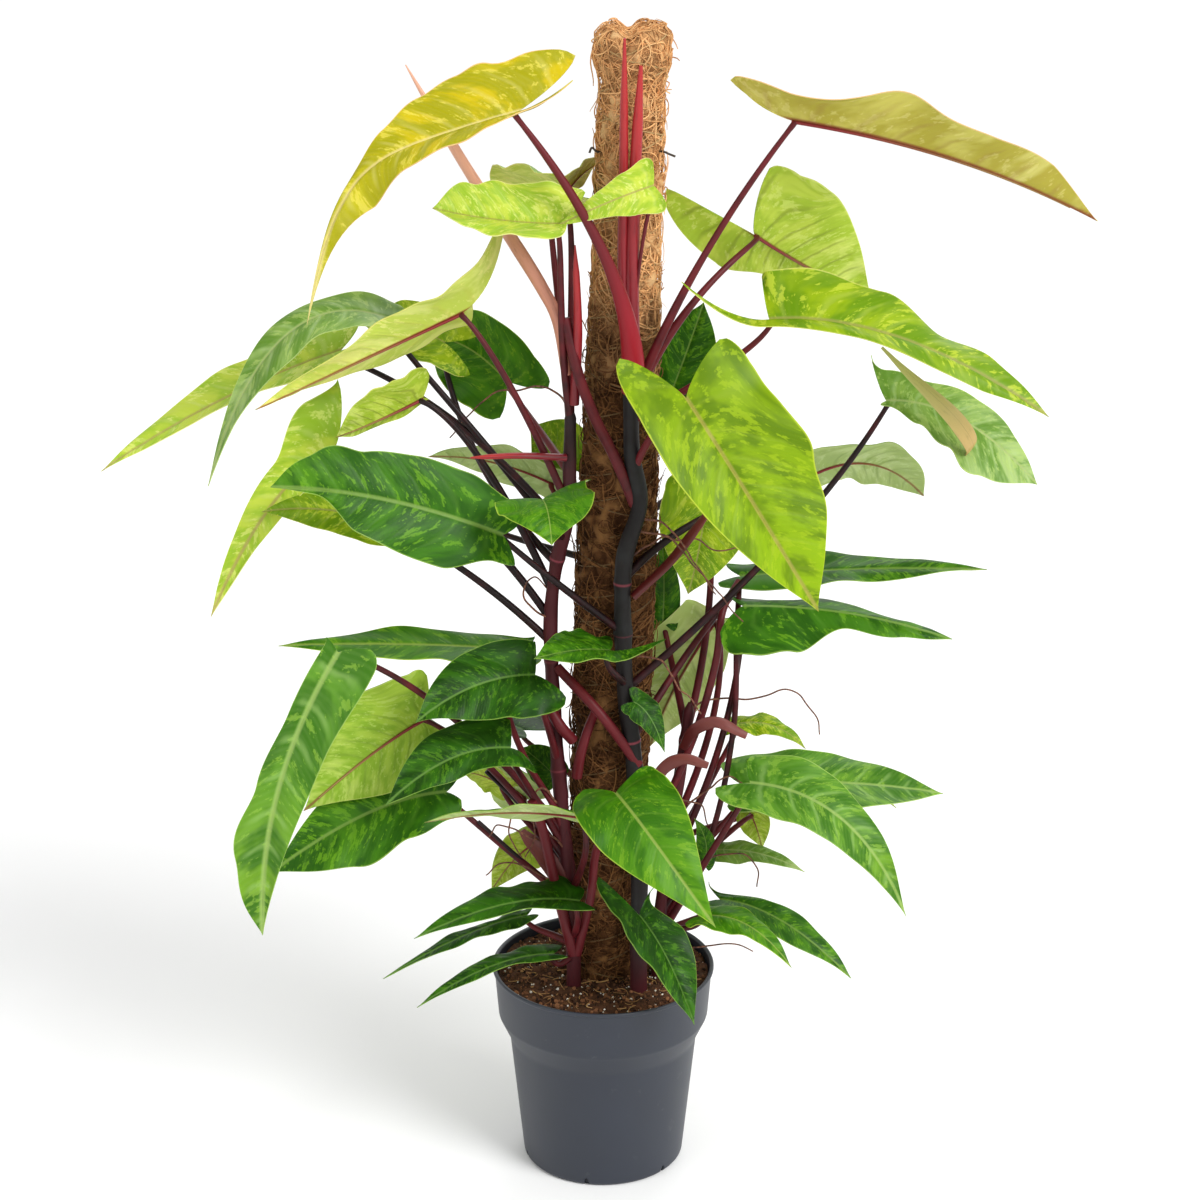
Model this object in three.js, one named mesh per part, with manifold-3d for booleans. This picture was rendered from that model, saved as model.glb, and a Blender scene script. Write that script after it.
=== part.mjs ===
// Potted painted lady philodendron on a coir pole. Millimetres, +Z up, the plant's face towards -Y,
// origin at the centre of the pot's underside.

import * as THREE from 'three';
import Module from 'manifold-3d';

const wasm = await Module();
wasm.setup();

// Driving dimensions of the pot, a 19 cm nursery pot
const POT_HEIGHT = 180;
const RIM_RADIUS = 95;
const LIP_HEIGHT = 4;
const LIP_PROUD = 1.8;
const COLLAR_FOOT = 134;
const COLLAR_FOOT_RADIUS = 90;
const BODY_TOP = 115;
const BODY_TOP_RADIUS = 80.5;
const BASE_RADIUS = 69;
const POT_WALL = 1.8;
const POT_FLOOR = 3.6;
const POT_SIDES = 30;
const FOOT_BEVEL = 2.5;
const COLLAR_BEVEL = 1.5;
const RIM_BEVEL = 0.9;
const DRAIN = { count: 6, radius: 5, circle: 45, sides: 8 };
const NOTCH = { count: 6, width: 15, height: 2.2, depth: 9, turn: 0.3 };

// Soil: its top falls slightly from the pole to the wall
const SOIL_TOP_CENTRE = 176;
const SOIL_TOP_EDGE = 172;
const SOIL_CROWN = 57;
const CLEAR = 0.3;

// Coir pole: a stake in a coir sleeve, leaning a little to the right
const POLE_TOP = 990;
const POLE_LEAN = 0.029;
const POLE_FOOT = 60;
const STAKE = { radius: 11, foot: 12, top: 955, sides: 12 };
const COIR = {
  radius: 28, buriedRadius: 27, bulge: 1.6, sides: 16, step: 58,
  head: 31, headHeight: 45, headRise: 20, headEdge: 6, headTop: 24,
};

// Leaf blades and their stalks
const BLADE = { thick: 0.8, shoulder: 0.88, spread: 0.5, fall: 2.2, point: 1.3, scale: 1.06 };
const LOBE = { slant: 1.2, turn: 0.75 };
const BLADE_SEAT = 0.45;
const STALK = { base: 3.6, end: 2, sides: 5, steps: 4, lead: 16, inset: 3, taper: 1.6 };

// Stems: centrelines from the tip down to the soil, each with its radius at the top and at the foot
const STEM_END = 112;
const STEM_OVERLAP = 8;
const STEM_SIDES = 7;
const SHEATH_SIDES = 6;
const STEMS = {
  front: {
    radius: [6.5, 7.5],
    points: [
      [22, -41, 715], [23, -42, 650], [29, -42, 612], [17, -42, 565], [16, -41, 500], [19, -41, 440],
      [25, -41, 390], [30, -41, 305], [30, -41, 225], [30, -41, 172],
    ],
  },
  left: {
    radius: [5, 6.5],
    points: [
      [-26, -37, 690], [-27, -37, 640], [-28, -36, 600], [-38, -28, 555], [-43, -24, 505], [-40, -25, 415],
      [-35, -29, 345], [-28, -34, 255], [-25, -36, 205], [-25, -36, 172],
    ],
  },
  right: {
    radius: [4.5, 6],
    points: [[72, -8, 425], [62, -12, 345], [52, -14, 270], [47, -15, 210], [47, -15, 172]],
  },
  back: {
    radius: [5, 6.5],
    points: [
      [42, 44, 745], [30, 46, 640], [22, 47, 520], [8, 46, 400], [2, 44, 290], [2, 44, 215], [2, 44, 172],
    ],
  },
};

// Leaves. at: height on the stem where the stalk leaves it; via: where the stalk heads first;
// base, bend, tip: the midrib from the stalk's end to the point; face: the way the upper side looks;
// width across both halves; lobes: how far the left and the right lobe reach back and out;
// fold: degrees that the halves rise from the midrib; hang: how far the point droops;
// lift: how far the left and the right lobe rise; droop: how far the margins sink;
// wave: height, number and start of the waves of the margin; stalk: radius of a stalk with a sheath.
const LEAVES = [
  { name: 'leaf_01', stem: 'front', at: 705, via: [24, -78, 800], base: [-65, -70, 935],
    bend: [-130, -108, 932], tip: [-200, -130, 855], face: [0, -0.3, 0.95], width: 96, stalk: 6,
    lobes: [[46, 24], [46, 38]], fold: 25, hang: 60, lift: [34, 10], wave: [3, 2.2, 0.1] },
  { name: 'leaf_02', stem: 'front', at: 690, via: [75, -40, 780], base: [145, -30, 920],
    bend: [275, -60, 905], tip: [375, -90, 855], face: [0, 0.42, 0.9], width: 94,
    lobes: [[50, 18], [50, 22]], fold: 34, lift: [14, 8], wave: [5, 2.6, 0.6] },
  { name: 'leaf_03', stem: 'left', at: 670, via: [-32, -20, 755], base: [-40, 5, 855],
    bend: [-65, 40, 870], tip: [-95, 75, 840], face: [0.1, 0.75, 0.6], width: 84,
    lobes: [[26, 24], [26, 20]], fold: 8 },
  { name: 'leaf_04', stem: 'left', at: 680, via: [-38, -46, 770], base: [-34, -58, 845],
    bend: [-82, -58, 845], tip: [-127, -66, 858], face: [0, -0.57, 0.82], width: 88,
    lobes: [[6, 8], [68, 38]], fold: 38, lift: [2, 4], droop: 8 },
  { name: 'leaf_06', stem: 'left', at: 630, via: [-60, -52, 715], base: [-110, -40, 770],
    bend: [-180, -55, 740], tip: [-270, -90, 705], face: [0.2, 0.6, 0.77], width: 80,
    lobes: [[34, 26], [4, 28]], fold: 12, lift: [46, 34] },
  { name: 'leaf_07', stem: 'left', at: 555, via: [-125, 45, 620], base: [-130, 47, 720],
    bend: [-168, 52, 740], tip: [-198, 76, 727], face: [0, -0.6, 0.8], width: 56,
    lobes: [[32, 18], [24, 22]], fold: 10 },
  { name: 'leaf_08', stem: 'left', at: 575, via: [-110, 22, 665], base: [-170, 2, 752],
    bend: [-262, -45, 795], tip: [-313, -60, 632], face: [-0.3, -0.35, 0.88], width: 62,
    lobes: [[18, 18], [18, 20]], fold: 12 },
  { name: 'leaf_09', stem: 'left', at: 585, via: [-130, 24, 692], base: [-213, 24, 719],
    bend: [-306, 15, 684], tip: [-400, -5, 628], face: [0, -0.2, 0.98], width: 72,
    lobes: [[20, 20], [20, 20]], fold: 16 },
  { name: 'leaf_10', stem: 'left', at: 505, via: [-130, 10, 630], base: [-217, 8, 643],
    bend: [-272, -15, 645], tip: [-317, -50, 517], face: [-0.85, -0.25, 0.45], width: 64,
    lobes: [[20, 16], [20, 24]], fold: 10, lift: [4, 26] },
  { name: 'leaf_12', stem: 'left', at: 530, via: [-100, -8, 660], base: [-145, -10, 690],
    bend: [-178, -25, 676], tip: [-212, -36, 650], face: [0, 0.8, 0.5], width: 68,
    lobes: [[12, 18], [12, 18]], fold: 8 },
  { name: 'leaf_13', stem: 'left', at: 635, via: [-55, 45, 650], base: [-80, 60, 683],
    bend: [-115, 80, 718], tip: [-150, 100, 708], face: [0, -0.75, 0.6], width: 84,
    lobes: [[22, 26], [28, 22]], fold: 10 },
  { name: 'leaf_16', stem: 'front', at: 500, via: [-45, -60, 555], base: [-80, -70, 595],
    bend: [-175, -90, 642], tip: [-260, -100, 645], face: [0, -0.85, 0.5], width: 84,
    lobes: [[16, 20], [12, 20]], fold: 10, wave: [4, 1.6, 0.2] },
  { name: 'leaf_17', stem: 'left', at: 485, via: [-110, -10, 550], base: [-165, -20, 585],
    bend: [-225, -25, 608], tip: [-275, -30, 600], face: [0, -0.7, 0.7], width: 44,
    lobes: [[12, 14], [12, 14]], fold: 8 },
  { name: 'leaf_19', stem: 'left', at: 610, via: [-25, 25, 592], base: [-40, 40, 600],
    bend: [-95, 50, 625], tip: [-145, 60, 617], face: [0, 0.8, 0.5], width: 46,
    lobes: [[14, 16], [14, 16]], fold: 8 },
  { name: 'leaf_20', stem: 'left', at: 605, via: [-22, 40, 592], base: [-25, 62, 605],
    bend: [-40, 72, 630], tip: [-62, 82, 635], face: [0, -0.8, 0.6], width: 58,
    lobes: [[14, 20], [14, 20]], fold: 8 },
  { name: 'leaf_21', stem: 'left', at: 580, via: [-42, -60, 592], base: [-52, -85, 614],
    bend: [-46, -112, 618], tip: [-42, -130, 592], face: [0, -0.5, 0.85], width: 60,
    lobes: [[12, 44], [10, 36]], fold: 10 },
  { name: 'leaf_23', stem: 'front', at: 640, via: [40, -60, 685], base: [64, -98, 717],
    bend: [109, -140, 657], tip: [168, -128, 552], face: [0.35, -0.85, 0.38], width: 116,
    lobes: [[16, 46], [50, 34]], fold: 16, wave: [4, 1.8, 0.4] },
  { name: 'leaf_25', stem: 'front', at: 695, via: [90, 0, 765], base: [120, 25, 815],
    bend: [158, 55, 782], tip: [225, 110, 735], face: [-0.25, 0.92, 0.3], width: 128,
    lobes: [[76, 16], [30, 50]], fold: 12, lift: [20, 2] },
  { name: 'leaf_27', stem: 'front', at: 680, via: [110, -38, 722], base: [130, -38, 749],
    bend: [228, -52, 767], tip: [350, -62, 690], face: [0, -0.3, 0.95], width: 84,
    lobes: [[6, 40], [74, 14]], fold: 20, lift: [2, 44], wave: [4, 2, 0.1] },
  { name: 'leaf_28', stem: 'front', at: 450, via: [185, 0, 585], base: [230, 30, 675],
    bend: [290, 20, 682], tip: [345, 0, 608], face: [0.2, -0.6, 0.75], width: 76,
    lobes: [[12, 42], [4, 18]], fold: 10 },
  { name: 'leaf_30', stem: 'front', at: 545, via: [80, 0, 610], base: [170, 60, 600],
    bend: [225, 70, 628], tip: [280, 90, 585], face: [0, 0.8, 0.5], width: 56,
    lobes: [[14, 18], [14, 18]], fold: 6 },
  { name: 'leaf_31', stem: 'front', at: 405, via: [88, 12, 500], base: [115, 38, 520],
    bend: [215, 14, 547], tip: [325, -20, 545], face: [0, 0.02, 1], width: 56,
    lobes: [[16, 18], [16, 18]], fold: 8, wave: [3, 2, 0.5] },
  { name: 'leaf_32', stem: 'right', at: 270, via: [120, -5, 405], base: [115, -10, 512],
    bend: [205, -20, 517], tip: [285, -30, 490], face: [0, -0.2, 0.98], width: 78,
    lobes: [[12, 22], [18, 28]], fold: -18 },
  { name: 'leaf_33', stem: 'right', at: 310, via: [112, 25, 415], base: [95, 40, 480],
    bend: [57, 45, 420], tip: [40, 50, 360], face: [0.1, 0.95, 0.2], width: 84,
    lobes: [[12, 26], [8, 20]], fold: 8 },
  { name: 'leaf_35', stem: 'right', at: 395, via: [104, 50, 505], base: [92, 25, 600],
    bend: [89, 20, 555], tip: [77, 15, 512], face: [0.1, -0.9, 0.3], width: 66,
    lobes: [[14, 22], [14, 22]], fold: 8 },
  { name: 'leaf_36', stem: 'back', at: 640, via: [45, 52, 650], base: [55, 60, 670],
    bend: [72, 65, 715], tip: [82, 65, 748], face: [0, -0.9, 0.3], width: 56,
    lobes: [[14, 20], [14, 20]], fold: 8 },
  { name: 'leaf_37', stem: 'front', at: 455, via: [10, -64, 473], base: [5, -66, 495],
    bend: [-20, -94, 510], tip: [-55, -110, 505], face: [0, -0.35, 0.93], width: 58,
    lobes: [[34, 20], [22, 22]], fold: 6, lift: [12, 2] },
  { name: 'leaf_38', stem: 'left', at: 380, via: [-48, -52, 435], base: [-55, -62, 472],
    bend: [-105, -85, 482], tip: [-150, -110, 450], face: [0, -0.7, 0.7], width: 76,
    lobes: [[22, 22], [4, 28]], fold: 6 },
  { name: 'leaf_39', stem: 'left', at: 395, via: [-58, -8, 435], base: [-66, -5, 470],
    bend: [-150, -20, 485], tip: [-276, -45, 490], face: [0, -0.15, 0.98], width: 68,
    lobes: [[12, 18], [12, 20]], fold: 8, wave: [4, 2, 0.3] },
  { name: 'leaf_40', stem: 'left', at: 315, via: [-125, -45, 455], base: [-210, -110, 510],
    bend: [-250, -150, 430], tip: [-280, -150, 286], face: [-0.1, -0.85, 0.4], width: 74,
    lobes: [[16, 22], [6, 24]], fold: 10 },
  { name: 'leaf_41', stem: 'left', at: 290, via: [-85, -40, 385], base: [-145, -40, 425],
    bend: [-182, -55, 410], tip: [-245, -78, 358], face: [0.2, 0.9, 0.3], width: 100,
    lobes: [[14, 34], [14, 34]], fold: 6 },
  { name: 'leaf_42', stem: 'left', at: 255, via: [-80, -30, 300], base: [-130, -35, 356],
    bend: [-190, -62, 364], tip: [-272, -90, 308], face: [0, -0.7, 0.7], width: 82,
    lobes: [[12, 16], [20, 24]], fold: 8 },
  { name: 'leaf_43', stem: 'left', at: 300, via: [-60, -42, 365], base: [-75, -72, 412],
    bend: [-125, -100, 428], tip: [-175, -120, 382], face: [0, -0.6, 0.8], width: 72,
    lobes: [[14, 16], [4, 24]], fold: 6 },
  { name: 'leaf_44', stem: 'left', at: 260, via: [-12, -66, 310], base: [-15, -76, 352],
    bend: [-80, -90, 370], tip: [-145, -100, 358], face: [0, 0.6, 0.8], width: 46,
    lobes: [[12, 14], [12, 14]], fold: 8 },
  { name: 'leaf_46', stem: 'left', at: 222, via: [-20, -58, 245], base: [-20, -66, 266],
    bend: [-77, -86, 283], tip: [-155, -110, 258], face: [0, -0.2, 0.97], width: 46,
    lobes: [[10, 14], [8, 14]], fold: 6 },
  { name: 'leaf_47', stem: 'left', at: 215, via: [-48, -22, 222], base: [-65, -20, 235],
    bend: [-115, -40, 234], tip: [-185, -60, 195], face: [0, 0, 1], width: 24,
    lobes: [[8, 8], [8, 8]], fold: 8 },
  { name: 'leaf_48', stem: 'left', at: 206, via: [-34, -48, 204], base: [-42, -52, 215],
    bend: [-92, -66, 218], tip: [-155, -92, 185], face: [0, -0.1, 0.98], width: 32,
    lobes: [[10, 10], [10, 10]], fold: 8 },
  { name: 'leaf_49', stem: 'front', at: 305, via: [20, -70, 350], base: [10, -90, 380],
    bend: [27, -140, 382], tip: [90, -162, 294], face: [0.1, -0.85, 0.5], width: 82,
    lobes: [[8, 28], [24, 20]], fold: 8, wave: [3, 1.6, 0.2] },
  { name: 'leaf_50', stem: 'front', at: 225, via: [27, -60, 245], base: [30, -75, 262],
    bend: [55, -102, 242], tip: [75, -118, 183], face: [0.55, -0.7, 0.45], width: 64,
    lobes: [[12, 24], [44, 14]], fold: 26 },
  { name: 'leaf_51', stem: 'front', at: 240, via: [50, -50, 236], base: [80, -56, 252],
    bend: [122, -74, 268], tip: [156, -90, 221], face: [0.1, -0.2, 0.95], width: 36,
    lobes: [[8, 12], [8, 12]], fold: 8 },
  { name: 'leaf_52', stem: 'right', at: 215, via: [78, -10, 228], base: [100, 0, 240],
    bend: [150, -20, 245], tip: [210, -40, 185], face: [0.1, -0.25, 0.95], width: 54,
    lobes: [[16, 18], [16, 18]], fold: 10 },
  { name: 'leaf_54', stem: 'right', at: 265, via: [100, -12, 310], base: [120, -15, 352],
    bend: [195, -15, 362], tip: [285, -10, 343], face: [0, -0.3, 0.95], width: 78,
    lobes: [[20, 24], [18, 26]], fold: 8 },
  { name: 'leaf_55', stem: 'right', at: 210, via: [100, -55, 330], base: [120, -70, 380],
    bend: [197, -102, 378], tip: [245, -112, 272], face: [0.1, -0.5, 0.85], width: 62,
    lobes: [[8, 22], [26, 12]], fold: 10, wave: [3, 1.8, 0.7] },
];

// Small leaves, each grown together with its stem's piece. The rows read as above.
const SMALL_LEAVES = [
  { name: 'small_1', stem: 'front', at: 425, via: [20, -52, 438], base: [25, -55, 445],
    bend: [40, -60, 440], tip: [50, -66, 405], face: [0.3, -0.8, 0.5], width: 26,
    lobes: [[8, 8], [8, 8]] },
  { name: 'small_2', stem: 'left', at: 270, via: [-50, 20, 295], base: [-65, 30, 320],
    bend: [-92, 36, 345], tip: [-122, 42, 338], face: [0, 0.9, 0.4], width: 50,
    lobes: [[12, 16], [12, 16]] },
  { name: 'small_3', stem: 'right', at: 280, via: [90, 24, 340], base: [110, 24, 392],
    bend: [145, 14, 405], tip: [170, 8, 376], face: [0, -0.3, 0.95], width: 26,
    lobes: [[10, 8], [10, 8]] },
  { name: 'small_4', stem: 'right', at: 230, via: [65, -5, 260], base: [85, 0, 285],
    bend: [130, -10, 297], tip: [170, -20, 275], face: [0, -0.4, 0.9], width: 24,
    lobes: [[8, 8], [8, 8]] },
  { name: 'small_5', stem: 'right', at: 255, via: [100, 15, 290], base: [125, 20, 312],
    bend: [131, 20, 300], tip: [136, 20, 278], face: [0, 0.9, 0.2], width: 28,
    lobes: [[6, 10], [6, 10]] },
  { name: 'small_6', stem: 'right', at: 220, via: [72, -8, 262], base: [85, -22, 285],
    bend: [91, -22, 305], tip: [76, -22, 326], face: [0, -0.9, 0.3], width: 18,
    lobes: [[6, 6], [6, 6]] },
  { name: 'small_7', stem: 'left', at: 300, via: [-35, -12, 340], base: [-42, -8, 360],
    bend: [-56, -8, 376], tip: [-68, -12, 386], face: [0, -0.8, 0.5], width: 32,
    lobes: [[8, 10], [8, 10]] },
  { name: 'small_8', stem: 'left', at: 255, via: [-40, 10, 270], base: [-55, 20, 285],
    bend: [-76, 20, 276], tip: [-96, 15, 240], face: [0, 0.9, 0.3], width: 44,
    lobes: [[10, 14], [10, 14]] },
];

// Leaves of the back stem, which the pole and the front leaves hide. They grow with that stem's piece.
const BACK_LEAVES = [
  { name: 'back_1', stem: 'back', at: 730, via: [32, 62, 735], base: [18, 84, 745],
    bend: [16, 165, 788], tip: [20, 230, 745], face: [0, 0, 1], width: 52,
    lobes: [[16, 14], [16, 14]], fold: 12 },
  { name: 'back_2', stem: 'back', at: 560, via: [62, 75, 585], base: [88, 112, 600],
    bend: [100, 165, 620], tip: [115, 210, 575], face: [0.2, 0.3, 0.9], width: 76,
    lobes: [[20, 22], [20, 22]], fold: 10 },
  { name: 'back_3', stem: 'back', at: 520, via: [-50, 75, 535], base: [-110, 100, 555],
    bend: [-155, 130, 575], tip: [-215, 160, 530], face: [-0.2, 0.3, 0.9], width: 72,
    lobes: [[20, 20], [20, 20]], fold: 10 },
  { name: 'back_4', stem: 'back', at: 500, via: [14, 64, 540], base: [8, 90, 555],
    bend: [10, 160, 585], tip: [12, 235, 530], face: [0, 0, 1], width: 54,
    lobes: [[16, 14], [16, 14]], fold: 12 },
  { name: 'back_5', stem: 'back', at: 300, via: [-30, 70, 340], base: [-70, 92, 358],
    bend: [-105, 120, 365], tip: [-158, 150, 315], face: [-0.2, 0.3, 0.9], width: 74,
    lobes: [[20, 22], [20, 22]], fold: 10 },
  { name: 'back_6', stem: 'back', at: 350, via: [2, 64, 390], base: [3, 88, 402],
    bend: [5, 150, 432], tip: [8, 215, 380], face: [0, 0, 1], width: 54,
    lobes: [[16, 14], [16, 14]], fold: 12 },
  { name: 'back_7', stem: 'back', at: 250, via: [90, 60, 285], base: [158, 74, 308],
    bend: [208, 90, 325], tip: [258, 110, 275], face: [0.2, 0.2, 0.9], width: 58,
    lobes: [[16, 16], [16, 16]], fold: 10 },
  { name: 'back_8', stem: 'back', at: 220, via: [20, 70, 245], base: [42, 95, 256],
    bend: [54, 135, 255], tip: [72, 175, 200], face: [0.2, 0.3, 0.9], width: 56,
    lobes: [[16, 16], [16, 16]], fold: 10 },
];

// Spears and sheaths, from the foot to the tip. wide and thick: the half axes of the section at
// the foot, the middle and the tip; across: the way that the section is wide; start: the way that
// the foot faces, where it stands on the stem's end.
const SHEATHS = [
  { name: 'spears_top', stem: 'front', color: 0xa5252f, across: [1, 0, 0], arms: [
    { points: [[21, -39, 715.5], [20, -38, 780], [17, -37, 880], [15, -37, 985]], start: [0, 0, 1],
      wide: [4.5, 3.4, 0.8], thick: [4.5, 3.4, 0.8] },
    { points: [[23, -39, 715.5], [27, -38, 780], [30, -37, 870], [31, -37, 965]], start: [0, 0, 1],
      wide: [4.5, 4, 0.8], thick: [4.5, 3.6, 0.8] }] },
  { name: 'spear_side', stem: 'left', color: 0x8a2030, across: [1, 0, 0], arms: [
    { points: [[-23, -40, 694], [-20, -46, 755], [-22, -47, 825]],
      wide: [3.4, 3.6, 0.7], thick: [3.4, 3.2, 0.7] }] },
  { name: 'spear_left', stem: 'left', color: 0xa83040, across: [0, 0, 1], arms: [
    { points: [[-30, -42, 650], [-65, -52, 655], [-105, -60, 656]],
      wide: [4.5, 4, 0.8], thick: [3, 2.6, 0.8] }] },
  { name: 'sheath_left', stem: 'left', color: 0xd88a78, across: [1, 0, 0], arms: [
    { points: [[-33, -36, 700], [-46, -30, 762], [-76, -6, 820], [-115, 20, 885], [-155, 30, 950]],
      wide: [5, 5, 0.7], thick: [3, 2.2, 0.7] }] },
  { name: 'strap_right', stem: 'front', color: 0xa8434b, across: [0.5, 0, -0.8], arms: [
    { points: [[24, -43, 532], [55, -38, 562], [78, -28, 590], [88, -20, 602]],
      wide: [5, 6, 3], thick: [2.4, 2, 1.2] }] },
  { name: 'curl_right', stem: 'right', color: 0xb06a60, across: [0, 1, 0], arms: [
    { points: [[66, -18, 388], [76, -34, 412], [92, -38, 420], [118, -34, 406]],
      wide: [4, 6, 3], thick: [1.6, 1.4, 1] }] },
  { name: 'curl_front', stem: 'front', color: 0xb06a60, across: [0, 1, 0], arms: [
    { points: [[34, -44, 348], [50, -50, 384], [66, -54, 394], [86, -54, 388]],
      wide: [4, 6, 3], thick: [1.6, 1.4, 1] }] },
  { name: 'sheath_low', stem: 'left', color: 0xb0606a, across: [1, 0, 1], arms: [
    { points: [[-30, -40, 252], [-48, -42, 296], [-72, -40, 318]],
      wide: [4, 7, 2], thick: [2, 1.6, 1] }] },
];

// Aerial roots, from the stem outwards
const ROOT = { radius: 1.1, end: 0.8, sides: 3 };
const ROOTS = [
  { stem: 'right', points: [[70, -8, 418], [95, 0, 426], [130, 0, 424], [152, 0, 434], [176, 0, 412],
    [180, 0, 392]] },
  { stem: 'front', points: [[17, -42, 560], [45, -28, 576], [70, -16, 570], [95, -12, 562], [118, -12, 566]] },
  { stem: 'front', points: [[24, -42, 590], [50, -46, 586], [75, -42, 556], [92, -40, 535]] },
  { stem: 'front', points: [[17, -41, 478], [45, -50, 480], [62, -54, 456], [80, -54, 435]] },
  { stem: 'left', points: [[-26, -37, 686], [-40, -20, 700], [-70, 8, 692], [-92, 14, 685], [-106, 18, 668],
    [-125, 20, 645]] },
];

// Solids from three.js geometry and back
function solidOf(geometry) {
  const position = geometry.getAttribute('position');
  return new wasm.Manifold(new wasm.Mesh({
    numProp: 3,
    vertProperties: new Float32Array(position.array),
    triVerts: new Uint32Array(geometry.getIndex().array),
  }));
}

function geometryOf(solid) {
  const mesh = solid.getMesh();
  const geometry = new THREE.BufferGeometry();
  geometry.setAttribute('position', new THREE.BufferAttribute(new Float32Array(mesh.vertProperties), 3));
  geometry.setIndex(new THREE.BufferAttribute(new Uint32Array(mesh.triVerts), 1));
  return geometry;
}

function largest(solid) {
  const pieces = solid.decompose();
  pieces.sort((a, b) => b.volume() - a.volume());
  return pieces[0];
}

function indexed(points, triangles) {
  const geometry = new THREE.BufferGeometry();
  geometry.setAttribute('position', new THREE.Float32BufferAttribute(points.flatMap((p) => [p.x, p.y, p.z]), 3));
  geometry.setIndex(triangles.flat());
  return geometry;
}

const vec = ([x, y, z]) => new THREE.Vector3(x, y, z);

// A body turned about the Z axis from an outline that starts and ends on the axis
function turned(outline, sides) {
  const points = [new THREE.Vector3(0, 0, outline[0][1])];
  const rings = outline.slice(1, -1);
  for (const [radius, z] of rings) {
    for (let i = 0; i < sides; i += 1) {
      const angle = (2 * Math.PI * i) / sides;
      points.push(new THREE.Vector3(radius * Math.cos(angle), radius * Math.sin(angle), z));
    }
  }
  points.push(new THREE.Vector3(0, 0, outline[outline.length - 1][1]));
  const last = points.length - 1;
  const at = (ring, i) => 1 + ring * sides + (i % sides);
  const triangles = [];
  for (let i = 0; i < sides; i += 1) {
    triangles.push([0, at(0, i + 1), at(0, i)]);
    triangles.push([last, at(rings.length - 1, i), at(rings.length - 1, i + 1)]);
    for (let ring = 0; ring < rings.length - 1; ring += 1) {
      triangles.push([at(ring, i), at(ring, i + 1), at(ring + 1, i + 1)]);
      triangles.push([at(ring, i), at(ring + 1, i + 1), at(ring + 1, i)]);
    }
  }
  return solidOf(indexed(points, triangles));
}

// A closed tube through rings of points, each ring given by its centre and two axes
function lofted(rings) {
  const sides = rings[0].length;
  const points = rings.flat();
  const triangles = [];
  for (let ring = 0; ring < rings.length - 1; ring += 1) {
    for (let i = 0; i < sides; i += 1) {
      const a = ring * sides + i;
      const b = ring * sides + ((i + 1) % sides);
      triangles.push([a, b, b + sides], [a, b + sides, a + sides]);
    }
  }
  const end = (rings.length - 1) * sides;
  for (let i = 1; i < sides - 1; i += 1) {
    triangles.push([0, i + 1, i], [end, end + i, end + i + 1]);
  }
  return solidOf(indexed(points, triangles));
}

// A round tube along a curve: radius(t) at each step, and the last ring may be laid flat to a normal
function tubeAlong(curve, steps, sides, radius, lastNormal) {
  const rings = [];
  let across = new THREE.Vector3(0.36, 0.48, 0.8);
  for (let step = 0; step <= steps; step += 1) {
    const t = step / steps;
    const along = step === steps && lastNormal ? lastNormal : curve.getTangent(t);
    across = across.clone().addScaledVector(along, -across.dot(along)).normalize();
    const side = new THREE.Vector3().crossVectors(along, across);
    const centre = curve.getPoint(t);
    const ring = [];
    for (let i = 0; i < sides; i += 1) {
      const angle = (2 * Math.PI * i) / sides;
      ring.push(centre.clone()
        .addScaledVector(across, radius(t) * Math.cos(angle))
        .addScaledVector(side, radius(t) * Math.sin(angle)));
    }
    rings.push(ring);
  }
  return lofted(rings);
}

// The pole's axis at a height
const poleX = (z) => POLE_LEAN * (z - POT_HEIGHT);

function poleRing(z, radius, sides, rough) {
  const ring = [];
  for (let i = 0; i < sides; i += 1) {
    const angle = (2 * Math.PI * i) / sides;
    const r = radius + rough * (Math.sin(3 * angle + z / 37) + Math.sin(5 * angle - z / 23)) / 2;
    ring.push(new THREE.Vector3(poleX(z) + r * Math.cos(angle), r * Math.sin(angle), z));
  }
  return ring;
}

function poleTube(foot, top, radius, sides) {
  return lofted([poleRing(foot, radius, sides, 0), poleRing(top, radius, sides, 0)]);
}

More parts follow.
